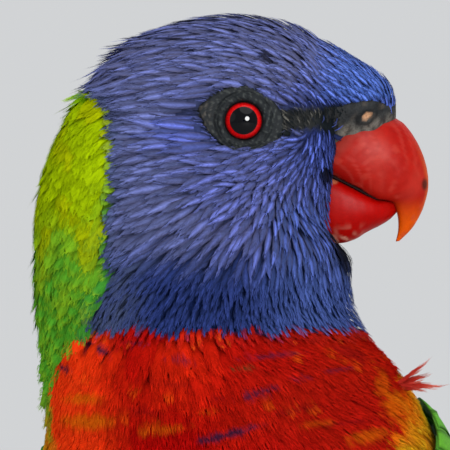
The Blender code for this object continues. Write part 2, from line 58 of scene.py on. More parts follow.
# The frame of the turned head and of the body
HEAD_TURN = math.radians(110)
FORWARD = np.array((math.sin(HEAD_TURN), -math.cos(HEAD_TURN), 0.0))
LEFT = np.array((math.cos(HEAD_TURN), math.sin(HEAD_TURN), 0.0))
UP = np.array((0.0, 0.0, 1.0))
EYES = {side: np.array([sum(c) / 2 for c in zip(*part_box(node))]) for side, node in
        ((1, "eye_left"), (-1, "eye_right"))}
HEAD_ORIGIN = (EYES[1] + EYES[-1]) / 2
BODY_ORIGIN = HEAD_ORIGIN - np.array((2.35, -11.3, 140.0)) * MM

# Torso rings as in the solids: forward, height, slope of the axis, half width, depth to back and to belly
TORSO = [(-77, 25.6, 12, 5.5, 3.4, 3.8), (-70, 28, 18, 12, 7.5, 8), (-58, 32, 25, 18.5, 12.5, 12.5),
         (-42, 40, 32, 25.5, 20, 18.5), (-22, 52, 38, 31, 27, 25), (-3, 67, 45, 33.8, 31, 29.5),
         (9, 82, 55, 32.9, 30, 28.5), (13, 95, 70, 28.6, 26.5, 25.5), (12, 104, 80, 20.2, 20, 19.5),
         (11, 108.5, 85, 10.5, 10, 9.5)]
WING = [(-112, 22.5, 9, 7, 6, 5), (-96, 25, 11, 10.5, 8, 6), (-80, 28, 14, 14.5, 10, 8),
        (-62, 33, 24, 20, 14.5, 12), *TORSO[3:7], (11, 89, 62, 30.4, 28, 27)]
WING_EDGES = [(0, 84, 100), (.03, 70, 107), (.09, 54, 112), (.18, 38, 114), (.35, 26, 112), (.55, 22, 102),
              (.75, 26, 88), (.9, 36, 74), (1, 50, 62)]
WING_RISE = [(0, .5), (.05, 1.4), (.15, 2.5), (.3, 3.1), (.5, 2.7), (.7, 2), (1, 1.3)]


# Numbers and colours

def lin(*colour):
    """An sRGB colour, or rows of them, as linear light."""
    c = np.asarray(colour[0] if len(colour) == 1 else colour, float) / 255
    return np.where(c <= 0.04045, c / 12.92, ((c + 0.055) / 1.055) ** 2.4)


def smooth(x, a, b):
    t = np.clip((np.asarray(x, float) - a) / (b - a), 0, 1)
    return t * t * (3 - 2 * t)


def mix(a, b, share):
    share = np.asarray(share, float)
    if np.ndim(share) and np.ndim(share) < max(np.ndim(a), np.ndim(b), 2):
        share = share[..., None]
    return a * (1 - share) + b * share


def table(rows, x, column=1):
    rows = np.asarray(rows, float)
    return np.interp(x, rows[:, 0], rows[:, column])


def unit(v):
    return v / np.maximum(np.linalg.norm(v, axis=-1, keepdims=True), 1e-12)


def dot(a, b):
    return (a * b).sum(-1)


def tangent(direction, normal):
    return unit(direction - normal * dot(direction, normal)[..., None])


def curve(rows, places):
    """A smooth curve through the rows of a table, read at fractional row places."""
    rows = np.asarray(rows, float)
    last = len(rows) - 1
    p = np.clip(np.asarray(places, float), 0, last)
    i = np.minimum(p.astype(int), last - 1)
    t = (p - i)[..., None]
    ends = np.vstack([2 * rows[0] - rows[1], rows, 2 * rows[-1] - rows[-2]])
    p0, p1, p2, p3 = (ends[i + k] for k in range(4))
    return p1 + 0.5 * t * (p2 - p0 + t * (2 * p0 - 5 * p1 + 4 * p2 - p3 + t * (3 * (p1 - p2) + p3 - p0)))


# Slow waves in space, for patches that run over skin and feathers alike
WAVES = rng.normal(0, 1, (14, 3))
WAVE_PHASES = rng.uniform(0, 2 * math.pi, 14)


def patches(places, size, salt=0):
    """A smooth random value of about -1 to 1 in space, with patches of the given size in millimetres."""
    phase = (places / (size * MM)) @ unit(WAVES).T * 3.0 * (1 + 0.35 * np.sin(np.arange(14) * 2.1 + salt))
    return np.sin(phase + WAVE_PHASES * (1 + salt)).sum(-1) / 3.2


# Places on the bird

def head_place(forward, left, up):
    """A place in the head's own directions, in millimetres, as a point in metres."""
    f, l, u = (np.asarray(x, float)[..., None] for x in (forward, left, up))
    return HEAD_ORIGIN + (FORWARD * f + LEFT * l + UP * u) * MM


def head_frame(points):
    d = (points - HEAD_ORIGIN) / MM
    return d @ FORWARD, d @ LEFT, d @ UP


def ring_frame(rows):
    """Centre, direction to the back, axis towards the head and sizes for rows of torso stations."""
    slope = np.radians(rows[..., 2])
    zero = np.zeros_like(slope)
    centre = BODY_ORIGIN + np.stack([zero, -rows[..., 0], rows[..., 1]], -1) * MM
    dorsal = np.stack([zero, np.sin(slope), np.cos(slope)], -1)
    axis = np.stack([zero, -np.cos(slope), np.sin(slope)], -1)
    return centre, dorsal, axis, rows[..., 3] * MM, rows[..., 4] * MM, rows[..., 5] * MM


def body_frame(points, stations):
    """For each point its fractional row in the stations, and its angle from the mid back, signed by side."""
    places = np.linspace(0, len(stations) - 1, 140)
    centre, dorsal, axis, *_ = ring_frame(curve(stations, places))
    ahead = np.einsum("nmc,mc->nm", points[:, None, :] - centre, axis)
    row = np.abs(ahead).argmin(1)
    off = points - centre[row]
    return places[row], np.degrees(np.arctan2(off[:, 0], dot(off, dorsal[row])))


def wing_place(share, angle, out, side):
    """A point over the flank: share from wrist to tip, angle from the mid back in radians, out in metres."""
    share, angle, out = (np.asarray(x, float) for x in (share, angle, out))
    centre, dorsal, _, half, back, belly = ring_frame(curve(WING, (1 - share) * (len(WING) - 1)))
    c, s = np.cos(angle), np.sin(angle)
    depth = np.where(c > 0, back, belly)
    aside = np.array((1.0, 0, 0)) * side
    return centre + aside * ((half + out) * s)[..., None] + dorsal * ((depth + out) * c)[..., None]


def wing_angle(share, place):
    """The angle in radians at a place across the wing, from 0 at its upper edge to 1 at its lower."""
    return np.radians(table(WING_EDGES, share, 1) * (1 - place) + table(WING_EDGES, share, 2) * place)


# Meshes

def piece(name, points, tris, finish, tint=None, replaces=(), flat=False):
    """A mesh object of triangles, with a colour for each point, riding on the body."""
    mesh = bpy.data.meshes.new(name)
    points = np.ascontiguousarray(points, np.float32)
    tris = np.ascontiguousarray(tris, np.int32)
    mesh.vertices.add(len(points))
    mesh.vertices.foreach_set("co", points.ravel())
    mesh.loops.add(tris.size)
    mesh.loops.foreach_set("vertex_index", tris.ravel())
    mesh.polygons.add(len(tris))
    mesh.polygons.foreach_set("loop_start", np.arange(0, tris.size, 3, dtype=np.int32))
    mesh.update(calc_edges=True)
    mesh.validate()
    mesh.polygons.foreach_set("use_smooth", np.full(len(mesh.polygons), not flat))
    if tint is not None:
        paint(mesh, "tint", tint)
    mesh.materials.append(finish)
    made = bpy.data.objects.new(name, mesh)
    bpy.context.scene.collection.objects.link(made)
    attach(made, BODY)
    if replaces:
        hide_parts(*replaces)
    return made


def paint(mesh, name, colours):
    layer = mesh.color_attributes.new(name, "FLOAT_COLOR", "POINT")
    rgba = np.ones((len(mesh.vertices), 4), np.float32)
    rgba[:, :3] = np.clip(colours, 0, 1)
    layer.data.foreach_set("color", rgba.ravel())


def lattice(rows, columns, closed=False, ends=False):
    """The triangles of a grid of points, row by row. Closed joins its last column to its first."""
    i, j = np.meshgrid(np.arange(rows - 1), np.arange(columns if closed else columns - 1), indexing="ij")
    k = (j + 1) % columns
    a, b, c, d = (i * columns + j, i * columns + k, (i + 1) * columns + k, (i + 1) * columns + j)
    tris = np.concatenate([np.stack([a, b, c], -1).reshape(-1, 3), np.stack([a, c, d], -1).reshape(-1, 3)])
    if ends:
        first, last = np.arange(1, columns - 1), (rows - 1) * columns + np.arange(1, columns - 1)
        start = np.stack([np.zeros_like(first), first + 1, first], -1)
        stop = np.stack([np.full_like(last, (rows - 1) * columns), last, last + 1], -1)
        tris = np.concatenate([tris, start, stop])
    return tris


def stacked(parts):
    """Several (points, triangles, colours) as one."""
    points, tris, colours, at = [], [], [], 0
    for p, t, c in parts:
        p = p.reshape(-1, 3)
        points.append(p)
        tris.append(t + at)
        colours.append(np.broadcast_to(c, p.shape) if np.ndim(c) == 1 else c.reshape(-1, 3))
        at += len(p)
    return np.concatenate(points), np.concatenate(tris), np.concatenate(colours)


def mesh_arrays(mesh):
    mesh.calc_loop_triangles()
    points = np.zeros(len(mesh.vertices) * 3, np.float32)
    mesh.vertices.foreach_get("co", points)
    tris = np.zeros(len(mesh.loop_triangles) * 3, np.int32)
    mesh.loop_triangles.foreach_get("vertices", tris)
    return points.reshape(-1, 3).astype(float), tris.reshape(-1, 3)


def point_normals(points, tris):
    a, b, c = (points[tris[:, k]] for k in range(3))
    face = np.cross(b - a, c - a)
    total = np.zeros_like(points)
    for k in range(3):
        np.add.at(total, tris[:, k], face)
    return unit(total)


def relaxed(values, tris, rounds, share=0.5):
    """Values of points evened out with their neighbours'."""
    edges = np.concatenate([tris[:, (0, 1)], tris[:, (1, 2)], tris[:, (2, 0)]])
    count = np.zeros(len(values))
    np.add.at(count, edges[:, 0], 1)
    np.add.at(count, edges[:, 1], 1)
    values = np.array(values, float)
    column = count.reshape(-1, *[1] * (values.ndim - 1))
    for _ in range(rounds):
        total = np.zeros_like(values)
        np.add.at(total, edges[:, 0], values[edges[:, 1]])
        np.add.at(total, edges[:, 1], values[edges[:, 0]])
        values = values * (1 - share) + total / np.maximum(column, 1) * share
    return values


# Materials

def nodes_of(name, roughness, specular=0.4, sheen=0.0, coat=0.0, coat_roughness=0.1, coat_ior=1.5, subsurface=0.0):
    made = bpy.data.materials.new(name)
    made.use_nodes = True
    tree = made.node_tree
    shader = tree.nodes["Principled BSDF"]
    shader.inputs["Roughness"].default_value = roughness
    shader.inputs["Specular IOR Level"].default_value = specular
    shader.inputs["Sheen Weight"].default_value = sheen
    shader.inputs["Sheen Roughness"].default_value = 0.5
    shader.inputs["Coat Weight"].default_value = coat
    shader.inputs["Coat Roughness"].default_value = coat_roughness
    shader.inputs["Coat IOR"].default_value = coat_ior
    shader.inputs["Subsurface Weight"].default_value = subsurface
    shader.inputs["Subsurface Scale"].default_value = 1.0 * MM
    return made, tree, shader


def add(tree, kind, **settings):
    node = tree.nodes.new(kind)
    for key, value in settings.items():
        if key in node.inputs:
            node.inputs[key].default_value = value
        else:
            setattr(node, key, value)
    return node


def math_node(tree, operation, a, b=None):
    node = tree.nodes.new("ShaderNodeMath")
    node.operation = operation
    for socket, value in zip(node.inputs, (a, b)):
        if value is None:
            continue
        if isinstance(value, (int, float)):
            socket.default_value = value
        else:
            tree.links.new(value, socket)
    return node.outputs[0]


def tinted(tree, shader, factor, low, high):
    """Base colour from the painted points, made darker or lighter by a factor of 0 to 1."""
    paint_node = add(tree, "ShaderNodeAttribute", attribute_name="tint")
    ranged = tree.nodes.new("ShaderNodeMapRange")
    ranged.inputs["From Min"].default_value = 0.25
    ranged.inputs["From Max"].default_value = 0.75
    ranged.inputs["To Min"].default_value = low
    ranged.inputs["To Max"].default_value = high
    tree.links.new(factor, ranged.inputs["Value"])
    scale = add(tree, "ShaderNodeVectorMath", operation="SCALE")
    tree.links.new(paint_node.outputs["Color"], scale.inputs[0])
    tree.links.new(ranged.outputs[0], scale.inputs["Scale"])
    tree.links.new(scale.outputs[0], shader.inputs["Base Color"])
    return ranged


def bumped(tree, shader, height, strength, distance):
    bump = add(tree, "ShaderNodeBump", Strength=strength, Distance=distance)
    tree.links.new(height, bump.inputs["Height"])
    tree.links.new(bump.outputs[0], shader.inputs["Normal"])


def plumage(name, roughness=0.55, sheen=0.15, contrast=0.22, specular=0.3):
    """Feather: barbs run out and forward from the shaft, in the feather's own measure in millimetres."""
    made, tree, shader = nodes_of(name, roughness, specular, sheen)
    vane = add(tree, "ShaderNodeAttribute", attribute_name="vane")
    parts = tree.nodes.new("ShaderNodeSeparateXYZ")
    tree.links.new(vane.outputs["Vector"], parts.inputs[0])
    across = math_node(tree, "ABSOLUTE", parts.outputs[0])
    barb = math_node(tree, "SUBTRACT", parts.outputs[1], math_node(tree, "MULTIPLY", across, 1.3))
    joined = tree.nodes.new("ShaderNodeCombineXYZ")
    tree.links.new(math_node(tree, "MULTIPLY", barb, 4.2), joined.inputs[0])
    tree.links.new(math_node(tree, "MULTIPLY", parts.outputs[0], 1.1), joined.inputs[1])
    tree.links.new(math_node(tree, "MULTIPLY", parts.outputs[2], 37.0), joined.inputs[2])
    noise = add(tree, "ShaderNodeTexNoise", Scale=1.0, Detail=2.0)
    tree.links.new(joined.outputs[0], noise.inputs["Vector"])
    tinted(tree, shader, noise.outputs["Fac"], 1 - contrast, 1 + contrast)
    bumped(tree, shader, noise.outputs["Fac"], 0.35, 0.1 * MM)
    return made


def surface(name, roughness, grain, contrast=0.2, relief=0.06, cells=0.0, **looks):
    """Skin, horn or scale: painted points with a fine grain in millimetres, and cells where it is scaly."""
    made, tree, shader = nodes_of(name, roughness, **looks)
    place = tree.nodes.new("ShaderNodeTexCoord")
    noise = add(tree, "ShaderNodeTexNoise", Scale=1 / (grain * MM), Detail=4.0)
    tree.links.new(place.outputs["Object"], noise.inputs["Vector"])
    tinted(tree, shader, noise.outputs["Fac"], 1 - contrast, 1 + contrast)
    height = noise.outputs["Fac"]
    if cells:
        scales = add(tree, "ShaderNodeTexVoronoi", Scale=1 / (cells * MM), feature="SMOOTH_F1")
        tree.links.new(place.outputs["Object"], scales.inputs["Vector"])
        height = math_node(tree, "SUBTRACT", math_node(tree, "MULTIPLY", height, 0.35), scales.outputs["Distance"])
    bumped(tree, shader, height, 0.7, relief * MM)
    return made


HEAD_PLUMAGE = plumage("head_plumage", 0.8, 0.0, 0.24, 0.02)
COLLAR_PLUMAGE = plumage("collar_plumage", 0.8, 0.0, 0.1, 0.0)
BREAST_PLUMAGE = plumage("breast_plumage", 0.8, 0.0, 0.2, 0.0)
GREEN_PLUMAGE = plumage("green_plumage", 0.65, 0.0, 0.2, 0.06)
FLIGHT_PLUMAGE = plumage("flight_plumage", 0.6, 0.0, 0.42, 0.08)
SKIN = surface("under_plumage", 0.8, 0.5, 0.25, 0.1, specular=0.0)
BARE_SKIN = surface("bare_skin", 0.7, 0.3, 0.35, 0.08, 0.4, specular=0.08)
HORN = surface("red_horn", 0.44, 1.1, 0.1, 0.02, specular=0.045, subsurface=0.05)
EYE = surface("eye", 0.3, 0.3, 0.12, 0.0, specular=0.0, coat=1.0, coat_roughness=0.03, coat_ior=1.24)
FOOT_SKIN = surface("foot_skin", 0.6, 0.4, 0.25, 0.16, 0.75)
CLAW = surface("claw", 0.4, 0.5, 0.2, 0.03, specular=0.2)


# Where the markings run. The head's are in its side view, the body's go round its axis

# The edge of the lime collar: forward of the eye, by height
COLLAR_EDGE = [(-40, -25.6), (-34.5, -24.4), (-31.5, -24.4), (-30, -24.2), (-28, -22.8), (-25.6, -21.2), (-24, -21.3),
               (-21, -22.0), (-18, -22.0), (-12.7, -21.3), (-9.5, -21.1), (-3, -21.2), (0.2, -21.3), (3.4, -22.3),
               (4.8, -24)]
BIB_EDGE = -34.0
# The edges of the red breast, in degrees round the body from its front to the bird's right and left, by height
BREAST_RIGHT = [(-80, -56), (-55, -56), (-48, -55), (-43, -55), (-40, -49), (-37, -42), (-35.3, -34), (-34, -26)]
BREAST_LEFT = [(-80, 60), (-60, 68), (-53, 76), (-46, 90), (-42, 108), (-38, 125), (-34, 150)]
# Dark and orange feather edges on the breast, and maroon bands of painted shadow: forward, up, half length, half
# height, degrees of rise, colour, strength
MARKS = [(-24.0, -36.3, 2.5, .42, -27, "violet", .95), (-28.8, -40.0, 1.1, .34, -30, "violet", .9),
         (-16.8, -35.8, 2.2, .3, -4, "violet", .6), (-10.0, -38.4, 2.8, .3, -8, "violet", .55),
         (4.4, -37.7, 4.4, .28, 6, "violet", .6), (-.4, -39.7, 2.2, .3, 6, "moss", .7),
         (2.6, -43.5, 3.3, .42, 19, "violet", .8), (15.4, -40.0, 2.6, .28, 8, "violet", .5),
         (-2.8, -50.3, 5.4, .5, 15, "violet", .9), (9.0, -41.4, 1.6, .24, 10, "violet", .45),
         (-4.6, -44.6, 2.4, .22, 12, "maroon_shadow", .6), (8.5, -46.4, 4.4, .34, 10, "maroon_shadow", .6),
         (-12.0, -42.2, 4.8, .32, -4, "maroon_shadow", .5), (17.2, -37.4, 3.0, .9, -20, "maroon_shadow", .45),
         (17.0, -48.4, 3.6, .34, 6, "maroon_shadow", .6), (-16.0, -46.6, 3.6, .26, -6, "maroon_shadow", .5),
         (-26.0, -44.9, 3.4, .8, 0, "amber", .75), (-25.4, -48.4, 4.0, 1.2, 0, "amber", .8),
         (-12.8, -49.6, 3.6, .5, 8, "amber", .45), (-5.4, -46.6, 1.8, .3, 6, "amber", .25),
         (22.5, -42.4, 1.2, 2.0, 0, "amber", .4), (25.0, -46.0, 2.4, 2.2, 0, "amber", .6),
         (20.0, -50.6, 3.4, .9, 10, "amber", .5), (11.5, -48.6, 2.6, .5, 8, "amber", .25)]
MARK_COLOURS = {"violet": lin(22, 28, 58), "moss": lin(46, 60, 30), "amber": lin(214, 104, 10), "maroon_shadow": lin(112, 10, 16)}
RED, SCARLET, DEEP_RED = lin(172, 11, 8), lin(255, 62, 18), lin(140, 10, 7)
AMBER, YELLOW = lin(226, 104, 14), lin(208, 164, 24)
GREEN, LEAF, DARK_GREEN = lin(72, 148, 30), lin(104, 172, 38), lin(30, 84, 26)
VIOLET, DARK_VIOLET = lin(58, 44, 138), lin(30, 22, 74)


def front_angle(points):
    """Degrees round the neck from straight ahead of the body towards its left."""
    u, v, w = head_frame(points)
    middle = head_place(np.interp(w, (-60, -43, -34), (-3.0, -3.4, -7.0)), 1.0, w)
    off = points - middle
    return np.degrees(np.arctan2(off[:, 0], -off[:, 1]))


def colours_at(points, jitter):
    """Base, shaft, edge and tip colours of a feather at each point, and how much the shaft stands out."""
    u, v, w = head_frame(points)
    count = len(points)
    row, angle = body_frame(points, TORSO)
    belly = 180 - np.abs(angle)
    slow, quick = patches(points, 9.0), patches(points, 3.0, 2)
    near = np.hypot(u - 18, w + 3)

    # Blue head: bright shafts on darker sides, smallest and sharpest by the bill, greyer on the crown
    bill = 1 - smooth(near, 5, 17)
    crown = smooth(w, 2, 8)
    rear = smooth(near, 24, 34)
    base = mix(mix(lin(66, 73, 114), lin(71, 77, 110), rear), lin(74, 78, 113), crown)
    base = mix(base, lin(40, 51, 106), bill)
    shaft = mix(mix(lin(121, 133, 228), lin(124, 135, 208), rear), lin(124, 136, 214), crown)
    shaft = mix(shaft, lin(112, 136, 252), bill)
    edge = mix(lin(68, 67, 98), lin(80, 79, 106), crown)
    edge = mix(edge, lin(20, 22, 46), bill)
    brow = smooth(u, 8, 19) * smooth(w, 2.6, 4)
    base, shaft = mix(base, lin(63, 91, 165), brow), mix(shaft, lin(113, 146, 252), brow)
    temple = 1 - smooth(np.hypot((u + 11) / 6, (w + 2.5) / 4.5), 0.4, 1.1)
    base, shaft = mix(base, lin(56, 68, 122), 0.7 * temple), mix(shaft, lin(110, 126, 240), 0.7 * temple)
    # Bluer towards the throat
    throat = (smooth(u, 0, 8) * smooth(-w, 10, 16))[:, None] * np.array((0.36, 0.15, 0.03))
    base, shaft = base * (1 - throat), shaft * (1 - throat)
    # Dark soft bib under the cheek
    bib = smooth(w + 0.10 * u, -19, -27)
    front = smooth(u, -2, 12)
    bib_base = mix(lin(28, 43, 92), lin(62, 82, 142), front)
    bib_base = mix(bib_base, lin(74, 84, 114), smooth(-u, 13, 20))
    base = mix(base, bib_base, bib)
    shaft = mix(shaft, mix(lin(62, 80, 160), lin(98, 120, 206), front), bib)
    edge = mix(edge, mix(lin(16, 26, 54), lin(36, 50, 92), front), bib)
    tip = mix(base, shaft, 0.35)
    # Painted shade: a dark patch under the bill and dark partings between the feathers behind the eye and by the
    # collar, with dark spots at the corner of the mouth, on the crown and along the bill's base
    shade_and_spots = smooth(u, 11.6, 13.4) * smooth(-w, 17, 18.5) * (1 - smooth(-w, 22.5, 25.5)) * (1 - smooth(np.abs(v), 6, 9))
    gape = 1 - smooth(np.hypot((u - 12.9) / 1.0, (w + 8.3) / 1.3), 0.5, 1.2)
    crown_spot = 1 - smooth(np.hypot((u - 3.8) / 0.6, (w - 9.8) / 1.2), 0.6, 1.1)
    parting_shade = np.maximum(1 - smooth(np.hypot((u + 9.6) / 3.8, (w - 1.5) / 0.8), 0.4, 1.1),
                         1 - smooth(np.hypot((u + 19.6) / 2.6, (w - 0.6) / 1.1), 0.4, 1.1))
    seam = smooth(u, 13.6, 14.3) * smooth(w, -9, -7.5) * (1 - smooth(w, -2.2, -1.4))
    shade_and_spots = np.maximum.reduce([shade_and_spots, gape, 0.85 * crown_spot, 0.6 * parting_shade, 0.75 * seam])
    dark = lin(12, 13, 20)
    base, shaft, edge, tip = (mix(c, dark, 0.96 * shade_and_spots) for c in (base, shaft, edge, tip))
    # Dark lores between eye and cere
    lores_low = np.interp(u, (4, 12, 14, 24), (-2.2, -1.4, -2.6, -2.0))
    lores_top = np.interp(u, (4, 12, 16, 20, 22, 24), (1.8, 2.2, 2.9, 3.1, 2.6, 1.4))
    lores = smooth(u, 3, 5) * smooth(w - lores_low, -0.4, 0.4) * smooth(lores_top - w, -0.4, 0.4) * smooth(np.abs(v), 2, 5)
    lores = np.maximum(lores, (1 - smooth(ring_share(u, w), 1.02, 1.16)) * (np.abs(v) > 4))
    grey, fleck = lin(27, 32, 36), lin(122, 119, 112)
    lore_base = mix(grey, fleck, 0.85 * smooth(jitter[:, 0], 0.3, 1.15) * smooth(u, 3.5, 5) * (1 - smooth(u, 11, 13)))
    lore_base = mix(lore_base, shaft, 0.5 * (jitter[:, 1] > 0.6) * smooth(u, 10.5, 12.5) * (1 - smooth(w, -.5, .8)))
    base, shaft, edge, tip = (mix(c, lore_base * k, lores) for c, k in
                              ((base, 1.0), (shaft, 1.2), (edge, .5), (tip, .9)))

    # Lime collar: yellow above, green below, teal where it meets the blue
    edge_at = table(COLLAR_EDGE, w)
    behind = edge_at - u + 0.5 * jitter[:, 1]
    collar = smooth(behind, -0.15, 0.15) * smooth(-w, -4.7, -3.5)
    low = smooth(w + 2.5 * quick, -12.5, -27)
    lime = mix(lin(166, 194, 6), lin(84, 170, 44), low)
    lime = mix(lime, lin(176, 172, 4), smooth(quick, 0.2, 0.9) * 0.5 * (1 - low))
    lime = mix(lime, lin(44, 138, 48), (1 - smooth(behind, 0.2, 3.0)) * smooth(-w, 4, 14) * 0.5)
    lime = mix(lime, lin(66, 116, 66), 0.45 * (1 - smooth(behind, 0, 1.3)))
    shade = 0.5 * (1 - smooth(-behind, 0.2, 2.4)) * (w < 5)
    base, shaft, edge, tip = (mix(c, lin(54, 68, 92), shade) for c in (base, shaft, edge, tip))
    sets = [(base, lime), (shaft, lime * 1.08), (edge, mix(lime * (0.95 - 0.25 * low[:, None]), DARK_GREEN, 0.02 + 0.12 * low)),
            (tip, mix(lime, lin(176, 200, 20), 0.1 + 0.35 * low))]
    base, shaft, edge, tip = (mix(a, b, collar) for a, b in sets)
    streak = (1 - collar) * (1 - 0.5 * bib) * (1 - shade_and_spots)

    # Body: red breast, yellow sides, violet belly, green back
    turn = front_angle(points)
    right, left = table(BREAST_RIGHT, w), table(BREAST_LEFT, w)
    inside = np.minimum(turn - right, left - turn) + 4.0 * (jitter[:, 1] - 0.5)
    inside = np.where(row < 6.5, np.minimum(inside, belly * 0 + 62 - np.abs(180 - np.abs(angle))), inside)
    upper = smooth(row, 5.3, 5.7)
    red = smooth(inside, -1, 1) * upper
    width = np.where(turn > 0, 62.0, 22.0)
    side = smooth(inside, -width, 4 - width) * (1 - smooth(inside, -1, 1)) * smooth(-w, 40, 44) * smooth(row, 4.4, 5)
    back = np.broadcast_to(GREEN, (count, 3))
    back = mix(back, LEAF, 0.5 + 0.4 * quick)
    under = 1 - smooth(np.abs(180 - np.abs(angle)), 70, 84)
    flank = mix(YELLOW, LEAF, smooth(slow, -0.3, 0.5))
    body = mix(back, flank, under * smooth(row, 0.4, 2.0))
    patch = (1 - smooth(np.abs(180 - np.abs(angle)), 44, 54)) * smooth(row, 3.1, 3.5) * (1 - smooth(row, 5.3, 5.7))
    body = mix(body, VIOLET, patch)
    gold = np.clip(0.8 + 0.3 * slow - 0.75 * smooth(-inside, 10, 24), 0, 1)
    body = mix(body, mix(YELLOW, AMBER, gold), side)
    # The red is brighter and more orange towards the body's right and darker towards its left: partly the breast's own
    # colour, partly painted light and painted shade
    bright = np.clip(0.04 + 0.14 * slow, 0, 1) + smooth(-turn, 10, 40)
    warm = mix(np.broadcast_to(RED, (count, 3)), SCARLET, np.clip(bright, 0, 1))
    warm = mix(warm, lin(152, 22, 12), 0.6 * smooth(turn, 5, 50))
    body = mix(body, warm, red)
    body_edge = mix(body * 0.62, DARK_GREEN, 0.5 * (1 - red) * (1 - patch) * (1 - side))
    body_edge = mix(body_edge, mix(warm, DEEP_RED, 0.4), red)
    body_tip = mix(body * 1.15, LEAF, 0.3 * (1 - red) * (1 - patch))
    # Odd feathers of the breast end in orange, and others in a dark bar
    lot = jitter[:, 2]
    body_tip = mix(body_tip, AMBER, red * (lot > 0.93) * 0.3)
    barred = red * (patches(points * (1, 1, 2.2), 7.0, 5) > 0.95) * (lot < 0.5) * smooth(-w, 54, 58)
    body_tip = mix(body_tip, MARK_COLOURS["violet"], np.clip(barred, 0, 1))
    body_tip = mix(body_tip, mix(DARK_VIOLET, GREEN, (lot > 0.6)), patch * (lot > 0.35) * 0.5)
    body_tip = mix(body_tip, mix(AMBER, GREEN, (lot > 0.5)), under * (1 - red) * (1 - patch) * (lot > 0.45) * 0.6)
    below = smooth(-(w + 0.5 * jitter[:, 1] + 0.5 * quick), -BIB_EDGE - 0.3, -BIB_EDGE + 0.3)
    # The collar runs on into the green back, without a step
    nape = collar * (1 - red) * (1 - smooth(-w, 42, 54))
    below = below * (1 - nape)
    return {"base": mix(base, body, below), "shaft": mix(shaft, body * 1.1, below),
            "edge": mix(edge, body_edge, below), "tip": mix(tip, body_tip, below)}, streak * (1 - below)


def marked(points, colours):
    """Colours of points with the marks of the breast over them, painted shadow bands among them."""
    u, v, w = head_frame(points)
    rough = 0.2 * patches(points, 0.9, 13)
    seen = (v < 10) * smooth(-w, 33.8, 34.6)
    for mu, mw, long, high, rise, name, strength in MARKS:
        c, s = math.cos(math.radians(rise)), math.sin(math.radians(rise))
        du, dw = u - mu, w - mw
        reach = np.hypot((du * c + dw * s) / long, (dw * c - du * s) / high) + rough
        colours = mix(colours, MARK_COLOURS[name], (1 - smooth(reach, 0.55, 1.35)) * seen * strength)
    return colours


# Skin under the plumage: the solids of flesh and of the wings' roots as one smooth body

def wing_root(side):
    """The plate under a folded wing, just below its feathers."""
    rings = []
    for share in np.linspace(0.0, 0.62, 20):
        angles = wing_angle(share, np.linspace(0, 1, 10))
        rise = max(table(WING_RISE, share) - 1.5, 0.3) * MM
        out = np.full(10, rise)
        out[[0, -1]] *= 0.4
        rings.append(np.concatenate([wing_place(share, angles, out, side),
                                     wing_place(share, angles[::-1], np.full(10, -2.5 * MM), side)]))
    return np.array(rings).reshape(-1, 3), lattice(20, 20, closed=True, ends=True)


def tail_root():
    """The block under the tail's coverts."""
    back = np.array((0, math.cos(math.radians(10.5)), -math.sin(math.radians(10.5))))
    rise = np.array((0, math.sin(math.radians(10.5)), math.cos(math.radians(10.5))))
    root = BODY_ORIGIN + np.array((0, 70.0, 27.2)) * MM
    turn = np.linspace(0, 2 * math.pi, 24, endpoint=False)
    rings = []
    for behind, half, thick in ((-6, 9, 4.2), (0, 9, 3.8), (10, 9.6, 3.2), (22, 10, 2.4), (34, 8.6, 1.5)):
        centre = root + (back * behind - rise * 1.2) * MM
        rings.append(centre + np.sin(turn)[:, None] * np.array((1.0, 0, 0)) * half * MM
                     + np.cos(turn)[:, None] * rise * thick * MM)
    return np.array(rings).reshape(-1, 3), lattice(5, 24, closed=True, ends=True)


# The bare ring's outline round the eye: degrees from forward, up, and millimetres
RING = [(-180, 6.3), (-147, 4.9), (-120, 4.5), (-85, 4.3), (-55, 4.8), (-25, 6.2), (0, 6.2), (20, 5.6),
        (50, 5.0), (80, 5.2), (105, 5.3), (135, 5.8), (155, 6.6), (167, 7.4), (180, 6.3)]


def ring_share(u, w):
    return np.hypot(u, w) / table(RING, np.degrees(np.arctan2(w, u)))


def skin_depth(points):
    """How far the skin lies inside the solids, in millimetres."""
    u, v, w = head_frame(points)
    depth = np.interp(w, (-60, -38, -30, -20, -8, 6), (2.0, 1.8, 1.5, 1.2, 1.0, 1.0))
    near = np.hypot(u - 17, w + 3)
    depth = np.minimum(depth, np.interp(near, (0, 6, 22), (0.5, 0.6, 2.0)))
    ring = ring_share(u, w)
    depth = np.minimum(depth, np.interp(ring, (1.0, 1.5, 2.6), (0.6, 0.7, 2.4)))
    depth = np.where(ring < 1.0, np.interp(ring, (0.75, 1.0), (2.0, 0.7)), depth)
    depth = np.where((u > 13) & (w > -6), np.minimum(depth, 0.45), depth)
    depth = np.where(points[:, 2] < 30 * MM, np.minimum(depth, 1.2), depth)
    return depth


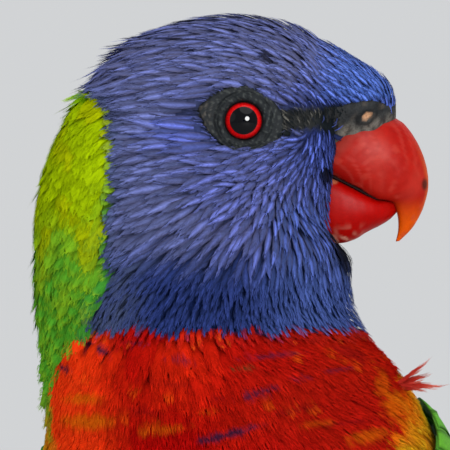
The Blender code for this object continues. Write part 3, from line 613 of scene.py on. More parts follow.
def make_skin():
    work = bmesh.new()
    for name in ("head", "neck", "torso", "thigh_left", "thigh_right"):
        mesh = NODES[name].data.copy()
        start = len(work.verts)
        work.from_mesh(mesh)
        work.verts.ensure_lookup_table()
        fresh = work.verts[start:]
        merged = bmesh.ops.remove_doubles(work, verts=fresh, dist=1e-6)
        bpy.data.meshes.remove(mesh)
    work.normal_update()
    for vertex in work.verts:
        vertex.co += vertex.normal * 0.3 * MM
    joined = bpy.data.meshes.new("joined")
    work.to_mesh(joined)
    work.free()
    points, tris = mesh_arrays(joined)
    bpy.data.meshes.remove(joined)
    parts = [(points, tris, np.zeros(3))]
    for side in (1, -1):
        parts.append((*wing_root(side), np.zeros(3)))
    parts.append((*tail_root(), np.zeros(3)))
    points, tris, _ = stacked(parts)
    rough = bpy.data.meshes.new("rough")
    rough.from_pydata(points.tolist(), [], tris.tolist())
    temp = bpy.data.objects.new("rough", rough)
    bpy.context.scene.collection.objects.link(temp)
    remesh = temp.modifiers.new("remesh", "REMESH")
    remesh.mode = "VOXEL"
    remesh.voxel_size = 1.1 * MM
    graph = bpy.context.evaluated_depsgraph_get()
    mesh = bpy.data.meshes.new_from_object(temp.evaluated_get(graph), depsgraph=graph)
    bpy.data.objects.remove(temp)
    points, tris = mesh_arrays(mesh)
    bpy.data.meshes.remove(mesh)
    points, tris = largest(points, tris)
    points = relaxed(points, tris, 5)
    depth = relaxed(skin_depth(points), tris, 3)
    for _ in range(4):
        points = points - point_normals(points, tris) * depth[:, None] * MM / 4
        points = relaxed(points, tris, 1, 0.3)
    # The socket round each eye stays behind the rim of the lids
    u, v, w = head_frame(points)
    limit = np.interp(ring_share(u, w), (0, .7, 1.0, 1.01), (11.9, 12.3, 14.0, 99))
    extra = np.clip(np.abs(v) - limit, 0, 3) * np.sign(v) * (np.abs(v) > 9)
    points = points - LEFT * extra[:, None] * MM
    jitter = np.full((len(points), 3), 0.5)
    colours, _ = colours_at(points, jitter)
    made = piece("skin", points, tris, SKIN, marked(points, colours["base"] * 0.85),
                 ("head", "neck", "torso", "thigh_left", "thigh_right"))
    bpy.context.view_layer.objects.active = made
    made.select_set(True)
    bpy.ops.object.mode_set(mode="EDIT")
    bpy.ops.mesh.select_all(action="SELECT")
    bpy.ops.uv.smart_project(angle_limit=math.radians(66), island_margin=0.003)
    bpy.ops.object.mode_set(mode="OBJECT")
    made.select_set(False)
    return made, points, tris


def largest(points, tris):
    """Only the largest connected surface of a mesh."""
    label = np.arange(len(points))
    while True:
        low = label[tris].min(1)
        fresh = label.copy()
        for k in range(3):
            np.minimum.at(fresh, tris[:, k], low)
        fresh = fresh[fresh]
        if (fresh == label).all():
            break
        label = fresh
    values, counts = np.unique(label, return_counts=True)
    keep = label == values[counts.argmax()]
    index = np.cumsum(keep) - 1
    return points[keep], index[tris[keep[tris].all(1)]]


skin, skin_points, skin_tris = make_skin()
skin_normals = relaxed(point_normals(skin_points, skin_tris), skin_tris, 3)
face_normals = unit(skin_normals[skin_tris].mean(1))
face_places = skin_points[skin_tris].mean(1)
loop_uv = np.zeros(len(skin.data.loops) * 2, np.float32)
skin.data.uv_layers[0].data.foreach_get("uv", loop_uv)
skin_uv = loop_uv.reshape(-1, 3, 2)
skin_tree = BVHTree.FromPolygons(skin_points.tolist(), skin_tris.tolist())

# The lie of the feathers

# Where the feathers of the cheek spread out from: forward, and up
CHEEK_CENTRE = (12.2, -2.9)
CROWN_TURN = [(-26, -26), (-22, -14), (-16, -8), (-12, -9), (-8, -9), (-3, -2), (4, 13), (10, 22), (18, 34)]


def lie_of(points, normals):
    """The direction in which feathers lie on each place of the skin."""
    u, v, w = head_frame(points)
    turn = np.radians(table(CROWN_TURN, u))
    crown = np.stack([-np.cos(turn), np.sin(turn)], -1)
    cheek = unit(np.stack([u - CHEEK_CENTRE[0], w - CHEEK_CENTRE[1]], -1))
    centred = 1 - smooth(np.hypot(u - CHEEK_CENTRE[0], w - CHEEK_CENTRE[1]), 1.2, 3.4)
    cheek = unit(mix(cheek, np.array((-0.3, -0.95)), centred))
    cheek = unit(mix(cheek, np.array((0.0, -1.0)), 0.6 * smooth(-w, 18, 33)))
    flat = mix(cheek, crown, smooth(w, -4, 4))
    nape = unit(np.array((-0.35, -1.0)))
    flat = mix(flat, nape, smooth(-u, 20, 24) * smooth(-w, -5, 0))
    away = unit(np.stack([u, w], -1))
    flat = mix(flat, away, (1 - smooth(ring_share(u, w), 0.98, 1.08)) * (np.abs(v) > 4))
    head = flat[:, :1] * FORWARD + flat[:, 1:] * UP
    row, _ = body_frame(points, TORSO)
    down = mix(np.array((0, 0.75, -0.66)), np.array((0, 0.98, -0.18)), 1 - smooth(row, 0.5, 3.0))
    leg = leg_share(points)
    side = np.sign(points[:, 0])[:, None]
    down = mix(down, np.array((0, 0.38, -0.91)) + side * np.array((0.15, 0, 0)), leg)
    return tangent(mix(tangent(head, normals), tangent(down, normals), smooth(-w, 31, 39)), normals)


def leg_share(points):
    """Where the skin belongs to the thighs, from 0 to 1."""
    share = np.zeros(len(points))
    for side in (1, -1):
        top, bottom = (BODY_ORIGIN + np.array(p) * MM for p in
                       (((side * 14.5, 5.0, 46.0)), ((side * 18.4, 17.0, 18.0))))
        line = bottom - top
        t = np.clip((points - top) @ line / (line @ line), 0, 1)
        away = np.linalg.norm(points - top - t[:, None] * line, axis=1) / MM
        share = np.maximum(share, (1 - smooth(away, 11.5, 16)) * smooth(t, 0.05, 0.3))
    return share


face_lie = relaxed_lie = lie_of(face_places, face_normals)


# What grows where: each zone's spacing across and along the lie, length and half width, in millimetres

def zones_of(points, normals):
    u, v, w = head_frame(points)
    row, angle = body_frame(points, TORSO)
    belly = np.abs(180 - np.abs(angle))
    wing_row, wing_turn = body_frame(points, WING)
    share = 1 - wing_row / (len(WING) - 1)
    upper, lower = table(WING_EDGES, share, 1), table(WING_EDGES, share, 2)
    place = (np.abs(wing_turn) - upper) / (lower - upper)
    near = np.hypot(u - 18, w + 3)
    zone = np.full(len(points), "body", dtype="U10")
    zone[fronted(points) & (points[:, 2] > 75 * MM)] = "breast"
    zone[leg_share(points) > 0.5] = "thigh"
    zone[(row < 1.6) & (points[:, 2] < 60 * MM)] = "tail"
    on_wing = (share > 0.01) & (share < 0.66) & (place > 0.02) & (place < 1.0) & (w < -50)
    zone[on_wing & (share < 0.22)] = "wing"
    zone[on_wing & (share >= 0.22)] = "none"
    head = w > BIB_EDGE - 0.8
    behind = table(COLLAR_EDGE, w) - u
    zone[head] = "head"
    zone[head & (w + 0.1 * u < -23)] = "bib"
    zone[(w > -46) & (behind > 0) & (w < 4.4) & ~((w < BIB_EDGE) & red_share(points))] = "collar"
    lore_mid = np.interp(u, (4, 12, 18, 24), (-.2, .6, 1.2, 2.2))
    zone[(u > 3.5) & (u < 16.4) & (np.abs(w - lore_mid) < np.interp(u, (4, 15), (2.2, 2.4))) & (np.abs(v) > 4)] = "lores"
    # Bare: the cere, the ring of skin round the eye and what the bill covers
    zone[(u > 16.4) & (w < np.interp(u, *CERE_TOP) - 0.6) & (w > -8)] = "none"
    zone[(u > 14.5) & (w < -1.8) & (w > -8)] = "none"
    for side in (1, -1):
        spot = (v * side > 3)
        zone[spot & (ring_share(u, w) < 1.1)] = "lores"
        zone[spot & (ring_share(u, w) < 0.94)] = "none"
    zone[(u > 12.6) & (w < 0) & (w > -19.4) & (np.abs(v) < 5.4)] = "none"
    zone[points[:, 2] < 18.5 * MM] = "none"
    return zone, near


def fronted(points):
    """Whether points lie on the breast's side of the body."""
    turn = front_angle(points)
    return (turn > -80) & (turn < 112)


def red_share(points):
    turn = front_angle(points)
    w = head_frame(points)[2]
    return (turn > table(BREAST_RIGHT, w)) & (turn < table(BREAST_LEFT, w))


# The upper edge of the cere: forward, and up
CERE_TOP = ((14, 17.2, 21, 22.6, 24.2), (2.2, 2.9, 3.4, 3.0, 1.6))

HEAD_SIZE = [(0, .34, .66, 1.6), (6, .38, .84, 2.2), (12, .42, 1.2, 3.6), (20, .50, 1.9, 6.0),
             (30, .58, 2.4, 7.8), (45, .62, 2.5, 8.2)]
ZONES = {
    "bib": (.66, 1.0, 3.3, 0.5, "soft"),
    "collar": (.95, 1.3, 4.6, 1.5, "scale"),
    "breast": (1.2, 1.6, 5.6, 1.7, "contour"),
    "body": (1.9, 2.4, 7.6, 2.1, "contour"),
    "thigh": (1.7, 2.4, 7.0, 1.6, "loose"),
    "tail": (2.8, 4.2, 15.0, 3.2, "covert"),
    "wing": (1.5, 1.9, 5.6, 2.0, "covert"),
    "lores": (.42, .55, .95, .16, "soft"),
}


def sizes_of(zone, near, u, w):
    """Spacing across, spacing along, length, half width."""
    sizes = np.zeros((len(zone), 4))
    fine = 1 - 0.12 * smooth(w, 4, 9)
    across = table(HEAD_SIZE, near, 1) * fine
    sizes[:] = np.stack([across, table(HEAD_SIZE, near, 2) * fine, table(HEAD_SIZE, near, 3) * fine,
                         across * 1.3], -1)
    for name, (a, b, length, half, _) in ZONES.items():
        sizes[zone == name] = (a, b, length, half)
    grown = smooth(-w, 36, 60)
    body = zone == "body"
    sizes[body] *= mix3(0.8, 1.35, grown[body])[:, None]
    # Short in front of the collar and above the red breast, so that the blue has an even edge
    ahead = u - table(COLLAR_EDGE, w)
    blue = np.isin(zone, ("head", "bib")) & (ahead > -3) & (w < 7)
    sizes[blue, 2] = np.minimum(sizes[blue, 2], 1.4 + 0.7 * np.clip(ahead[blue], 0, 20))
    bib = zone == "bib"
    sizes[bib, 2] *= mix3(1.0, 0.75, smooth(-w, 29, 32)[bib])
    return sizes


def scatter():
    """Roots of all the small feathers: an even scatter, closer across the lie than along it."""
    zone, near = zones_of(face_places, face_normals)
    u, _, w = head_frame(face_places)
    sizes = sizes_of(zone, near, u, w)
    a, b, c = (skin_points[skin_tris[:, k]] for k in range(3))
    area = 0.5 * np.linalg.norm(np.cross(b - a, c - a), axis=1) / MM ** 2
    wanted = np.where(zone == "none", 0, area * 5.0 / (sizes[:, 0] * sizes[:, 1]))
    counts = rng.poisson(wanted)
    face = np.repeat(np.arange(len(wanted)), counts)
    face = face[rng.permutation(len(face))]
    r = rng.random((len(face), 2))
    r = np.where(r.sum(1, keepdims=True) > 1, 1 - r, r)
    weights = np.stack([1 - r.sum(1), r[:, 0], r[:, 1]], -1)
    roots = np.einsum("nk,nkc->nc", weights, skin_points[skin_tris[face]])
    uv = np.einsum("nk,nkc->nc", weights, skin_uv[face])
    tree = KDTree(len(roots))
    for i, p in enumerate(roots):
        tree.insert(p, i)
    tree.balance()
    free = np.ones(len(roots), bool)
    kept = []
    lie = face_lie[face]
    aside = np.cross(face_normals[face], lie)
    for i in range(len(roots)):
        if not free[i]:
            continue
        kept.append(i)
        across, along = sizes[face[i], 0] * MM, sizes[face[i], 1] * MM
        found = [j for _, j, _ in tree.find_range(roots[i], along)]
        off = roots[found] - roots[i]
        close = (off @ aside[i] / across) ** 2 + (off @ lie[i] / along) ** 2 < 1
        free[np.array(found)[close]] = False
    kept = np.array(kept)
    return {"root": roots[kept], "face": face[kept], "uv": uv[kept], "zone": zone[face[kept]],
            "size": sizes[face[kept]]}


STEPS = 5


def trace(spots, sway):
    """Follows the lie over the skin from each root, and keeps places, normals and directions."""
    count = len(spots["root"])
    places = np.zeros((count, STEPS + 1, 3))
    normals, ahead = np.zeros_like(places), np.zeros_like(places)
    for i in range(count):
        face = spots["face"][i]
        p = Vector(spots["root"][i])
        step = spots["size"][i, 2] * MM / STEPS
        c, s = math.cos(sway[i]), math.sin(sway[i])
        for k in range(STEPS + 1):
            n = face_normals[face]
            d = face_lie[face]
            d = d * c + np.cross(n, d) * s
            if k:
                d = 0.5 * (d + ahead[i, k - 1])
            d = d - n * (d @ n)
            d = d / math.sqrt(d @ d + 1e-18)
            places[i, k], normals[i, k], ahead[i, k] = p, n, d
            if k < STEPS:
                p, _, face, _ = skin_tree.find_nearest(p + Vector(d * step))
    return places, normals, ahead


# Feather shapes. A template's points are x across in half widths, y along from 0 to 1, z off the vane

def template(seed, columns, rows, outline, strands, strand_width, reach=0.35, spread=0.7, camber=0.16, streak=0.2,
             from_y=0.2):
    """A vane with fine strands out of its sides and end."""
    draw = np.random.default_rng(seed)
    a, t = np.meshgrid(columns, rows)
    half = table(outline, t)
    points = np.stack([a * half, t - 0.10 * a ** 2 * smooth(t, 0.5, 1), -camber * (a * half) ** 2], -1)
    points = points.reshape(-1, 3)
    tris = lattice(len(rows), len(columns))
    a, t = a.ravel(), t.ravel()
    shaft = np.exp(-(a / streak) ** 2) * (1 - 0.7 * smooth(t, 0.72, 1.0))
    edge = np.abs(a) ** 2.2
    tip = smooth(t, 0.74, 1.0)
    shade = draw.uniform(-0.10, 0.10, len(a))
    extra, extra_tris, at = [], [], len(points)
    looks = []
    for _ in range(strands):
        y0 = from_y + (0.97 - from_y) * draw.random() ** 0.7
        sign = draw.choice((-1, 1))
        here = table(outline, y0)
        x0 = sign * here * draw.uniform(0.15, 1.0)
        y1 = y0 + reach * draw.uniform(0.6, 1.15) * (1 - 0.35 * y0)
        x1 = x0 + sign * spread * draw.uniform(0.1, 0.8) * (1.15 - y0) * np.abs(x0) ** 0.3
        bend = draw.uniform(-0.05, 0.08)
        z0, z1 = draw.uniform(0.02, 0.10), draw.uniform(-0.04, 0.16)
        w0 = strand_width * draw.uniform(0.7, 1.3)
        xm, ym = 0.45 * x0 + 0.55 * x1 + bend, 0.45 * y0 + 0.55 * y1
        extra += [(x0 - w0, y0, z0), (x0 + w0, y0, z0), (xm - w0 * .8, ym, z0 + .5 * z1 + .03),
                  (xm + w0 * .8, ym, z0 + .5 * z1 + .03), (x1, y1, z1)]
        extra_tris += [(at, at + 1, at + 3), (at, at + 3, at + 2), (at + 2, at + 3, at + 4)]
        at += 5
        glow = draw.uniform(-0.28, 0.26)
        side = min(1.0, abs(x0) / max(here, 0.1))
        s = math.exp(-(x0 / streak) ** 2) * 0.8
        for y in (y0, y0, ym, ym, y1):
            looks.append((s, side ** 2 * 0.8, float(smooth(y, 0.74, 1.0)), glow))
    if extra:
        points = np.concatenate([points, extra])
        tris = np.concatenate([tris, extra_tris])
        looks = np.array(looks)
        shaft, edge, tip, shade = (np.concatenate([v, looks[:, k]]) for k, v in
                                   enumerate((shaft, edge, tip, shade)))
    return {"points": points, "tris": tris, "shaft": shaft, "edge": edge, "tip": tip, "shade": shade}


LANCE = [(0, .5), (.2, .8), (.45, 1), (.7, .84), (.88, .48), (1, .06)]
PLUME = [(0, .4), (.3, .8), (.6, .85), (.85, .5), (1, .1)]
BROAD = [(0, .45), (.25, .72), (.55, .74), (.8, .6), (.93, .35), (1, .1)]
ROUND = [(0, .55), (.25, .9), (.55, 1), (.8, .9), (.93, .6), (1, .22)]
SLIM, SEVEN, FIVE = (np.array(c) for c in ([-1, -.55, -.28, 0, .28, .55, 1], [-1, -.58, -.22, 0, .22, .58, 1],
                                           [-1, -.45, 0, .45, 1]))
NINE = np.array([-1, -.6, -.3, -.12, 0, .12, .3, .6, 1])
TEMPLATES = {
    "hackle": [template(20 + k, SLIM, [0, .3, .55, .8, 1], LANCE, 12, .06, .26, .5, .05, .30)
               for k in range(4)],
    "soft": [template(30 + k, FIVE, [0, .5, 1], PLUME, 16, .10, .46, 1.0, .05, .2) for k in range(4)],
    "loose": [template(40 + k, FIVE, [0, .3, .6, .85, 1], BROAD, 34, .05, .42, .6, .06, .2, .2)
              for k in range(4)],
    "scale": [template(45 + k, FIVE, [0, .3, .6, .8, .93, 1], ROUND, 26, .04, .3, .4, .03, .2, .3)
              for k in range(4)],
    "contour": [template(50 + k, FIVE, [0, .3, .6, .85, 1], BROAD, 46, .036, .42, .6, .04, .12, .2)
                for k in range(5)],
    "covert": [template(60 + k, NINE, [0, .2, .42, .62, .8, .92, 1], ROUND, 14, .02, .1, .2, .12, .08, .5)
               for k in range(3)],
}


def grow(name, spots, chosen, finish, slot, replaces=()):
    """One piece of coat from the chosen roots: each feather's template laid along its traced line."""
    groups = []
    for kind, variants in TEMPLATES.items():
        of_kind = chosen[spots["kind"][chosen] == kind]
        for k, shape in enumerate(variants):
            part = of_kind[k::len(variants)]
            if len(part):
                groups.append(laid(spots, part, shape))
    points, tris, tints, vanes, normals, uvs = [], [], [], [], [], []
    at = 0
    for p, t, c, v, n, q in groups:
        points.append(p)
        tris.append(t + at)
        tints.append(c)
        vanes.append(v)
        normals.append(n)
        uvs.append(q)
        at += len(p)
    points, tris, tints, vanes, normals, uvs = (np.concatenate(x) for x in (points, tris, tints, vanes, normals, uvs))
    if slot != "head_plumage" or name == "bib_feathers":
        tints = marked(points, tints)
    made = piece(name, points, tris, finish, tints, replaces)
    mesh = made.data
    layer = mesh.attributes.new("vane", "FLOAT_VECTOR", "POINT")
    layer.data.foreach_set("vector", vanes.astype(np.float32).ravel())
    unwrap = mesh.uv_layers.new(name="OFBake")
    unwrap.data.foreach_set("uv", uvs[tris.ravel()].astype(np.float32).ravel())
    own = point_normals(points, tris)
    own = np.where(dot(own, normals)[:, None] < 0, -own, own)
    mesh.normals_split_custom_set_from_vertices(unit(0.12 * own + 0.88 * normals).tolist())
    print(name, len(tris), "triangles")
    return made


PATCH = 0.003


def laid(spots, part, shape):
    """Points, triangles, colours, barb measure, normals and unwrap for one template on its roots."""
    xyz = shape["points"]
    y = xyz[:, 1]
    at = np.clip(y * STEPS, 0, STEPS - 1e-6)
    i = at.astype(int)
    f = (at - i)[None, :, None]
    over = np.clip(y - 1, 0, None)[None, :, None]
    P, N, D = spots["places"][part], spots["normals"][part], spots["ahead"][part]
    length = spots["size"][part, 2] * MM
    half = spots["size"][part, 3] * MM
    place = P[:, i] * (1 - f) + P[:, i + 1] * f + D[:, -1:, :] * over * length[:, None, None]
    normal = unit(N[:, i] * (1 - f) + N[:, i + 1] * f)
    ahead = unit(D[:, i] * (1 - f) + D[:, i + 1] * f)
    side = np.cross(normal, ahead)
    roll = spots["roll"][part][:, None]
    depth = spots["depth"][part][:, None] * MM
    climb = (np.sin(np.clip(y, 0, 1) * math.pi / 2)[None] ** spots["climb"][part][:, None]
             + 0.35 * np.clip(y - 1, 0, None))
    lift = spots["lift"][part][:, None] * y ** 2
    across = xyz[:, 0] * half[:, None] + spots["sway"][part][:, None] * y ** 2 * length[:, None]
    height = depth * (0.04 + climb * 0.96) * (1 + lift) + (xyz[:, 2] + roll * xyz[:, 0]) * half[:, None]
    height = height + spots["stand"][part][:, None] * MM * np.clip(y, 0, 1.3) ** 2.2
    points = place + side * across[..., None] + normal * height[..., None]
    looks = spots["looks"]
    shaft, edge, tip = (shape[k][None, :, None] for k in ("shaft", "edge", "tip"))
    streak = spots["streak"][part][:, None, None]
    colour = looks["base"][part][:, None]
    colour = mix3(colour, looks["edge"][part][:, None], edge * 0.9)
    colour = mix3(colour, looks["tip"][part][:, None], tip * 0.85)
    colour = mix3(colour, looks["shaft"][part][:, None], shaft * streak)
    glow = (1 + shape["shade"][None] + spots["glow"][part][:, None])[..., None]
    dark_root = spots["dark_root"][part][:, None]
    fade = (1 - dark_root + dark_root * smooth(y, 0.0, 0.45))[..., None]
    colour = colour * glow * fade
    vane = np.stack([across / MM, np.broadcast_to(y, across.shape) * length[:, None] / MM,
                     np.broadcast_to(spots["roll"][part][:, None] * 31.7, across.shape)], -1)
    spread = np.stack([np.clip(xyz[:, 0] / 2.4, -.5, .5), np.clip(y / 1.3, 0, 1) - 0.5], -1)
    uv = spots["uv"][part][:, None] + spread[None] * PATCH
    offset = (np.arange(len(part)) * len(xyz))[:, None, None]
    tris = shape["tris"][None, :, ::-1] + offset
    flat = [x.reshape(-1, 3) for x in (points, tris, colour, vane, np.broadcast_to(normal, points.shape))]
    return (*flat, uv.reshape(-1, 2))


def mix3(a, b, share):
    return a * (1 - share) + b * share


def streak_lines(points):
    """From -1 to 1: where bright feathers follow each other in lines along the lie of the head."""
    u, v, w = head_frame(points)
    drift = patches(points, 7.0, 14)
    ahead, above = u - CHEEK_CENTRE[0], w - CHEEK_CENTRE[1]
    turn = np.degrees(np.arctan2(above, ahead)) % 360
    wide, narrow = (np.sin(2 * math.pi * turn / step + 1.6 * drift) for step in (14.4, 7.2))
    cheek = mix3(wide, narrow, smooth(np.hypot(ahead, above), 8, 13))
    # On the crown the lines keep the height that a feather's way down the table of turns gives them
    knots = np.linspace(-30, 26, 57)
    fall = np.concatenate([[0], np.cumsum(np.tan(np.radians(table(CROWN_TURN, 0.5 * (knots[1:] + knots[:-1])))))])
    crown = np.sin(2 * math.pi * (w + np.interp(u, knots, fall)) / 1.9 + 1.6 * drift)
    return mix3(cheek, crown, smooth(w, -2, 2))


def make_coat():
    spots = scatter()
    count = len(spots["root"])
    spread = rng.normal(0, 1, (count, 6))
    spots["size"] = spots["size"] * np.exp(0.10 * spread[:, :1])
    u, v, w = head_frame(spots["root"])
    fringe = (ring_share(u, w) < 1.1) & (np.abs(v) > 4)
    spots["size"][fringe, 2] *= 1.5
    spots["size"][:, 3] *= 1 + 0.35 * smooth(-u, 12, 20) * smooth(w, 2, 6)
    sway = np.radians(5.0) * spread[:, 1]
    spots["places"], spots["normals"], spots["ahead"] = trace(spots, sway)
    spots["roll"] = 0.10 * spread[:, 2] * np.where(np.isin(spots["zone"], ("collar", "breast")), 0.35, 1.0)
    spots["sway"] = 0.035 * spread[:, 3]
    u, v, w = head_frame(spots["root"])
    strength = np.interp(0.74 * streak_lines(spots["root"]) + 0.38 * rng.normal(0, 1, count),
                         (-1, -.2, .3, .8), (.06, .24, .6, 1.0))
    spots["depth"] = skin_depth(spots["root"]) * mix3(1.1, 0.8, smooth(-w, 20, 34)) + 0.1
    spots["lift"] = 0.06 * np.abs(spread[:, 4])
    # Bright feathers lie on top, and tips stand off behind the crown
    spots["depth"] *= 1 - 0.45 * smooth(-u, 13, 19) * smooth(w, 3, 7)
    spots["depth"] = spots["depth"] + 0.16 * strength * smooth(w, -34, -30)
    spots["stand"] = smooth(-u, 7, 15) * smooth(w, 1, 7) * 2.4 * rng.random(count) ** 1.4
    # Each feather is lighter or darker at random, and the tips that stand off behind the crown get painted light
    spots["glow"] = 0.06 * spread[:, 5] + 0.08 * spots["stand"]
    collared = spots["zone"] == "collar"
    breast = (spots["zone"] == "breast") | (w < -32.5)
    spots["dark_root"] = np.where(collared, 0.08, np.where(breast, 0.12, 0.28))
    spots["climb"] = np.where(collared | breast, 0.45, 0.8)
    # Some of the collar's lower tips stand off, and the fringe round the eye lies over the bare skin
    spots["stand"] += collared * smooth(-w, 3, 9) * 1.0 * (rng.random(count) < 0.3) * rng.random(count)
    spots["depth"] = np.where(fringe, 0.62, spots["depth"])
    jitter = rng.random((count, 3))
    seen = spots["places"][:, 3]
    looks, streak = colours_at(seen, jitter)
    far = smooth(np.hypot(u - 18, w + 3), 7, 17)
    looks["base"] = mix3(looks["base"], looks["shaft"], (0.34 * far * streak * strength)[:, None])
    spots["looks"] = looks
    spots["streak"] = (1 - 0.2 * far) * streak * strength
    kinds = {name: row[4] for name, row in ZONES.items()}
    spots["kind"] = np.array([kinds.get(z, "hackle") for z in spots["zone"]])
    zone = spots["zone"]
    low = spots["root"][:, 2]
    front = fronted(spots["root"])
    body = np.isin(zone, ("body", "breast"))
    every = np.arange(count)
    groups = [
        ("crown_feathers", (zone == "head") & (w > -1), HEAD_PLUMAGE, "head_plumage"),
        ("cheek_feathers", (zone == "head") & (w <= -1), HEAD_PLUMAGE, "head_plumage"),
        ("bib_feathers", np.isin(zone, ("bib", "lores")), HEAD_PLUMAGE, "head_plumage"),
        ("collar_feathers", zone == "collar", COLLAR_PLUMAGE, "collar_plumage"),
        ("breast_feathers", body & front & (low > 60 * MM), BREAST_PLUMAGE, "breast_plumage"),
        ("belly_feathers", body & front & (low <= 60 * MM), BREAST_PLUMAGE, "breast_plumage"),
        ("back_feathers", body & ~front, GREEN_PLUMAGE, "green_plumage"),
        ("thigh_feathers", zone == "thigh", GREEN_PLUMAGE, "green_plumage"),
        ("covert_feathers", np.isin(zone, ("wing", "tail")), GREEN_PLUMAGE, "green_plumage"),
    ]
    for name, mask, finish, slot in groups:
        if mask.any():
            grow(name, spots, every[mask], finish, slot)


make_coat()


def make_tuft(name, root, tips, half, colours, finish, slot, scatter_mm=0.35):
    """A few loose feathers from one place to several tips. Places are forward, left and up on the head."""
    start = head_place(*root)
    ends = np.array([head_place(*tip) for tip in tips])
    count = len(ends)
    starts = start + rng.normal(0, scatter_mm, (count, 3)) * MM
    starts = np.array([skin_tree.find_nearest(Vector(p))[0] for p in starts])
    run = np.linspace(0, 1, STEPS + 1)[None, :, None]
    way = ends - starts
    sag = 0.08 * np.linalg.norm(way, axis=1)[:, None, None] * np.sin(run * math.pi) * UP
    length = np.linalg.norm(way, axis=1) / MM
    ahead = np.broadcast_to(unit(way)[:, None], (count, STEPS + 1, 3))
    normals = tangent(np.broadcast_to(-LEFT, ahead.shape), ahead)
    base, tip = (np.broadcast_to(c, (count, 3)) for c in colours)
    draw = rng.normal(0, 1, (3, count))
    zero = np.zeros(count)
    spots = {"places": starts[:, None] + way[:, None] * run + sag, "normals": normals, "ahead": ahead,
             "size": np.stack([zero, zero, length, half + zero], -1), "roll": 0.3 * draw[0], "sway": 0.08 * draw[1],
             "depth": zero, "lift": zero, "stand": zero, "glow": 0.08 * draw[2], "streak": zero, "dark_root": zero,
             "climb": zero + 1,
             "looks": {"base": base, "shaft": base, "edge": base, "tip": tip}, "kind": np.full(count, "loose"),
             "uv": np.tile(skin_uv[skin_tree.find_nearest(Vector(start))[2]].mean(0), (count, 1))}
    grow(name, spots, np.arange(count), finish, slot)


WISP = [(30.0, -5, -40.0), (29.2, -6, -40.9), (31.8, -4, -43.4), (30.4, -5, -42.9), (28.4, -6, -40.8), (29.4, -4, -42.0),
        (28.6, -6, -43.9), (31.0, -5, -43.0), (28.2, -5, -41.5), (29.3, -5, -41.4), (28.4, -5, -42.2), (28.8, -4, -42.7),
        (28.9, -6, -43.2)]
make_tuft("wisp_feathers", (26.0, -4, -42.5), WISP, 0.36, (lin(184, 46, 36), lin(198, 104, 88)), BREAST_PLUMAGE,
          "breast_plumage", 0.6)
for side in (1, -1):
    BROW_TIPS = [(23.8 - 0.26 * (k % 5), side * (0.5 + 0.36 * k), 4.1 - 0.12 * k - 0.5 * (k % 3)) for k in range(14)]
    make_tuft(f"brow_feathers_{'right' if side < 0 else 'left'}", (22.0, side * 2.6, 6.0), BROW_TIPS, 0.34,
              (lin(58, 76, 150), lin(104, 130, 232)), HEAD_PLUMAGE, "head_plumage", 1.3)
NAPE_TIPS = [(-28.8, -3, 3.6), (-28.0, -4, 2.9), (-27.2, -2, 4.2), (-26.6, -5, 2.6)]
make_tuft("nape_feathers", (-24.2, -4, 4.4), NAPE_TIPS, 0.5, (lin(120, 168, 10), lin(150, 186, 16)), COLLAR_PLUMAGE,
          "collar_plumage")


# Flight and tail feathers: thin closed vanes with a raised shaft

def broad_vane(rows, columns, outline, place_at, thickness, colours_of):
    """A closed vane. place_at gives a point and a normal for a share along and a place across."""
    t, a = np.meshgrid(np.linspace(0, 1, rows), np.linspace(-1, 1, columns), indexing="ij")
    half = table(outline, t)
    along = t - 0.012 * np.abs(a) ** 2
    centre, normal = place_at(along, a * half)
    notch = 0.05 * np.abs(a) ** 3 * np.sin(t * 61 + 3 * np.sign(a)) * MM
    ridge = (0.28 * np.exp(-(a / 0.10) ** 2) * (1 - 0.6 * t) + 0.22 * (1 - a ** 2)) * MM + notch
    top = centre + normal * ridge[..., None]
    bottom = centre - normal * (thickness * (1 - a ** 2 * 0.8))[..., None]
    tris = lattice(rows, columns)
    count = rows * columns
    rim = np.concatenate([np.arange(columns), np.arange(1, rows) * columns + columns - 1,
                          (rows - 1) * columns + np.arange(columns - 2, -1, -1),
                          np.arange(rows - 2, 0, -1) * columns])
    follow = np.roll(rim, -1)
    wall = np.concatenate([np.stack([rim, rim + count, follow], -1),
                           np.stack([follow, rim + count, follow + count], -1)])
    points = np.concatenate([top.reshape(-1, 3), bottom.reshape(-1, 3)])
    tris = np.concatenate([tris, tris[:, ::-1] + count, wall])
    upper, lower = colours_of(t.ravel(), a.ravel())
    vane = np.stack([(a * half * 5).ravel(), t.ravel() * 40, np.zeros(count)], -1)
    return points, tris, np.concatenate([upper, lower]), np.concatenate([vane, vane])


def broad_piece(name, vanes, finish, replaces):
    points, tris, tints, measures, at = [], [], [], [], 0
    for order, (p, t, c, m) in enumerate(vanes):
        points.append(p)
        tris.append(t + at)
        tints.append(c)
        measures.append(m + np.array((0, 0, order * 3.3)))
        at += len(p)
    made = piece(name, np.concatenate(points), np.concatenate(tris), finish, np.concatenate(tints), replaces)
    layer = made.data.attributes.new("vane", "FLOAT_VECTOR", "POINT")
    layer.data.foreach_set("vector", np.concatenate(measures).astype(np.float32).ravel())
    return made


FLIGHT = [(0, .8), (.4, 1), (.76, .9), (.94, .5), (1, .12)]
COVERT = [(0, .8), (.55, 1), (.86, .75), (.96, .4), (1, .15)]
TAIL = [(0, .8), (.36, 1), (.7, .88), (.91, .42), (1, .06)]
WING_ROWS = [("primary", 7, (.44, .36), (.78, 1), (.44, .94), (.28, .72), 4.6, -1.0, FLIGHT),
             ("secondary", 6, (.26, .30), (.74, .60), (.07, .90), (.11, .88), 5.6, -.1, FLIGHT),
             ("greater_covert", 6, (.17, .17), (.43, .40), (.08, .92), (.09, .91), 6.0, .4, COVERT),
             ("median_covert", 5, (.09, .09), (.28, .26), (.13, .88), (.11, .89), 6.2, .8, COVERT)]


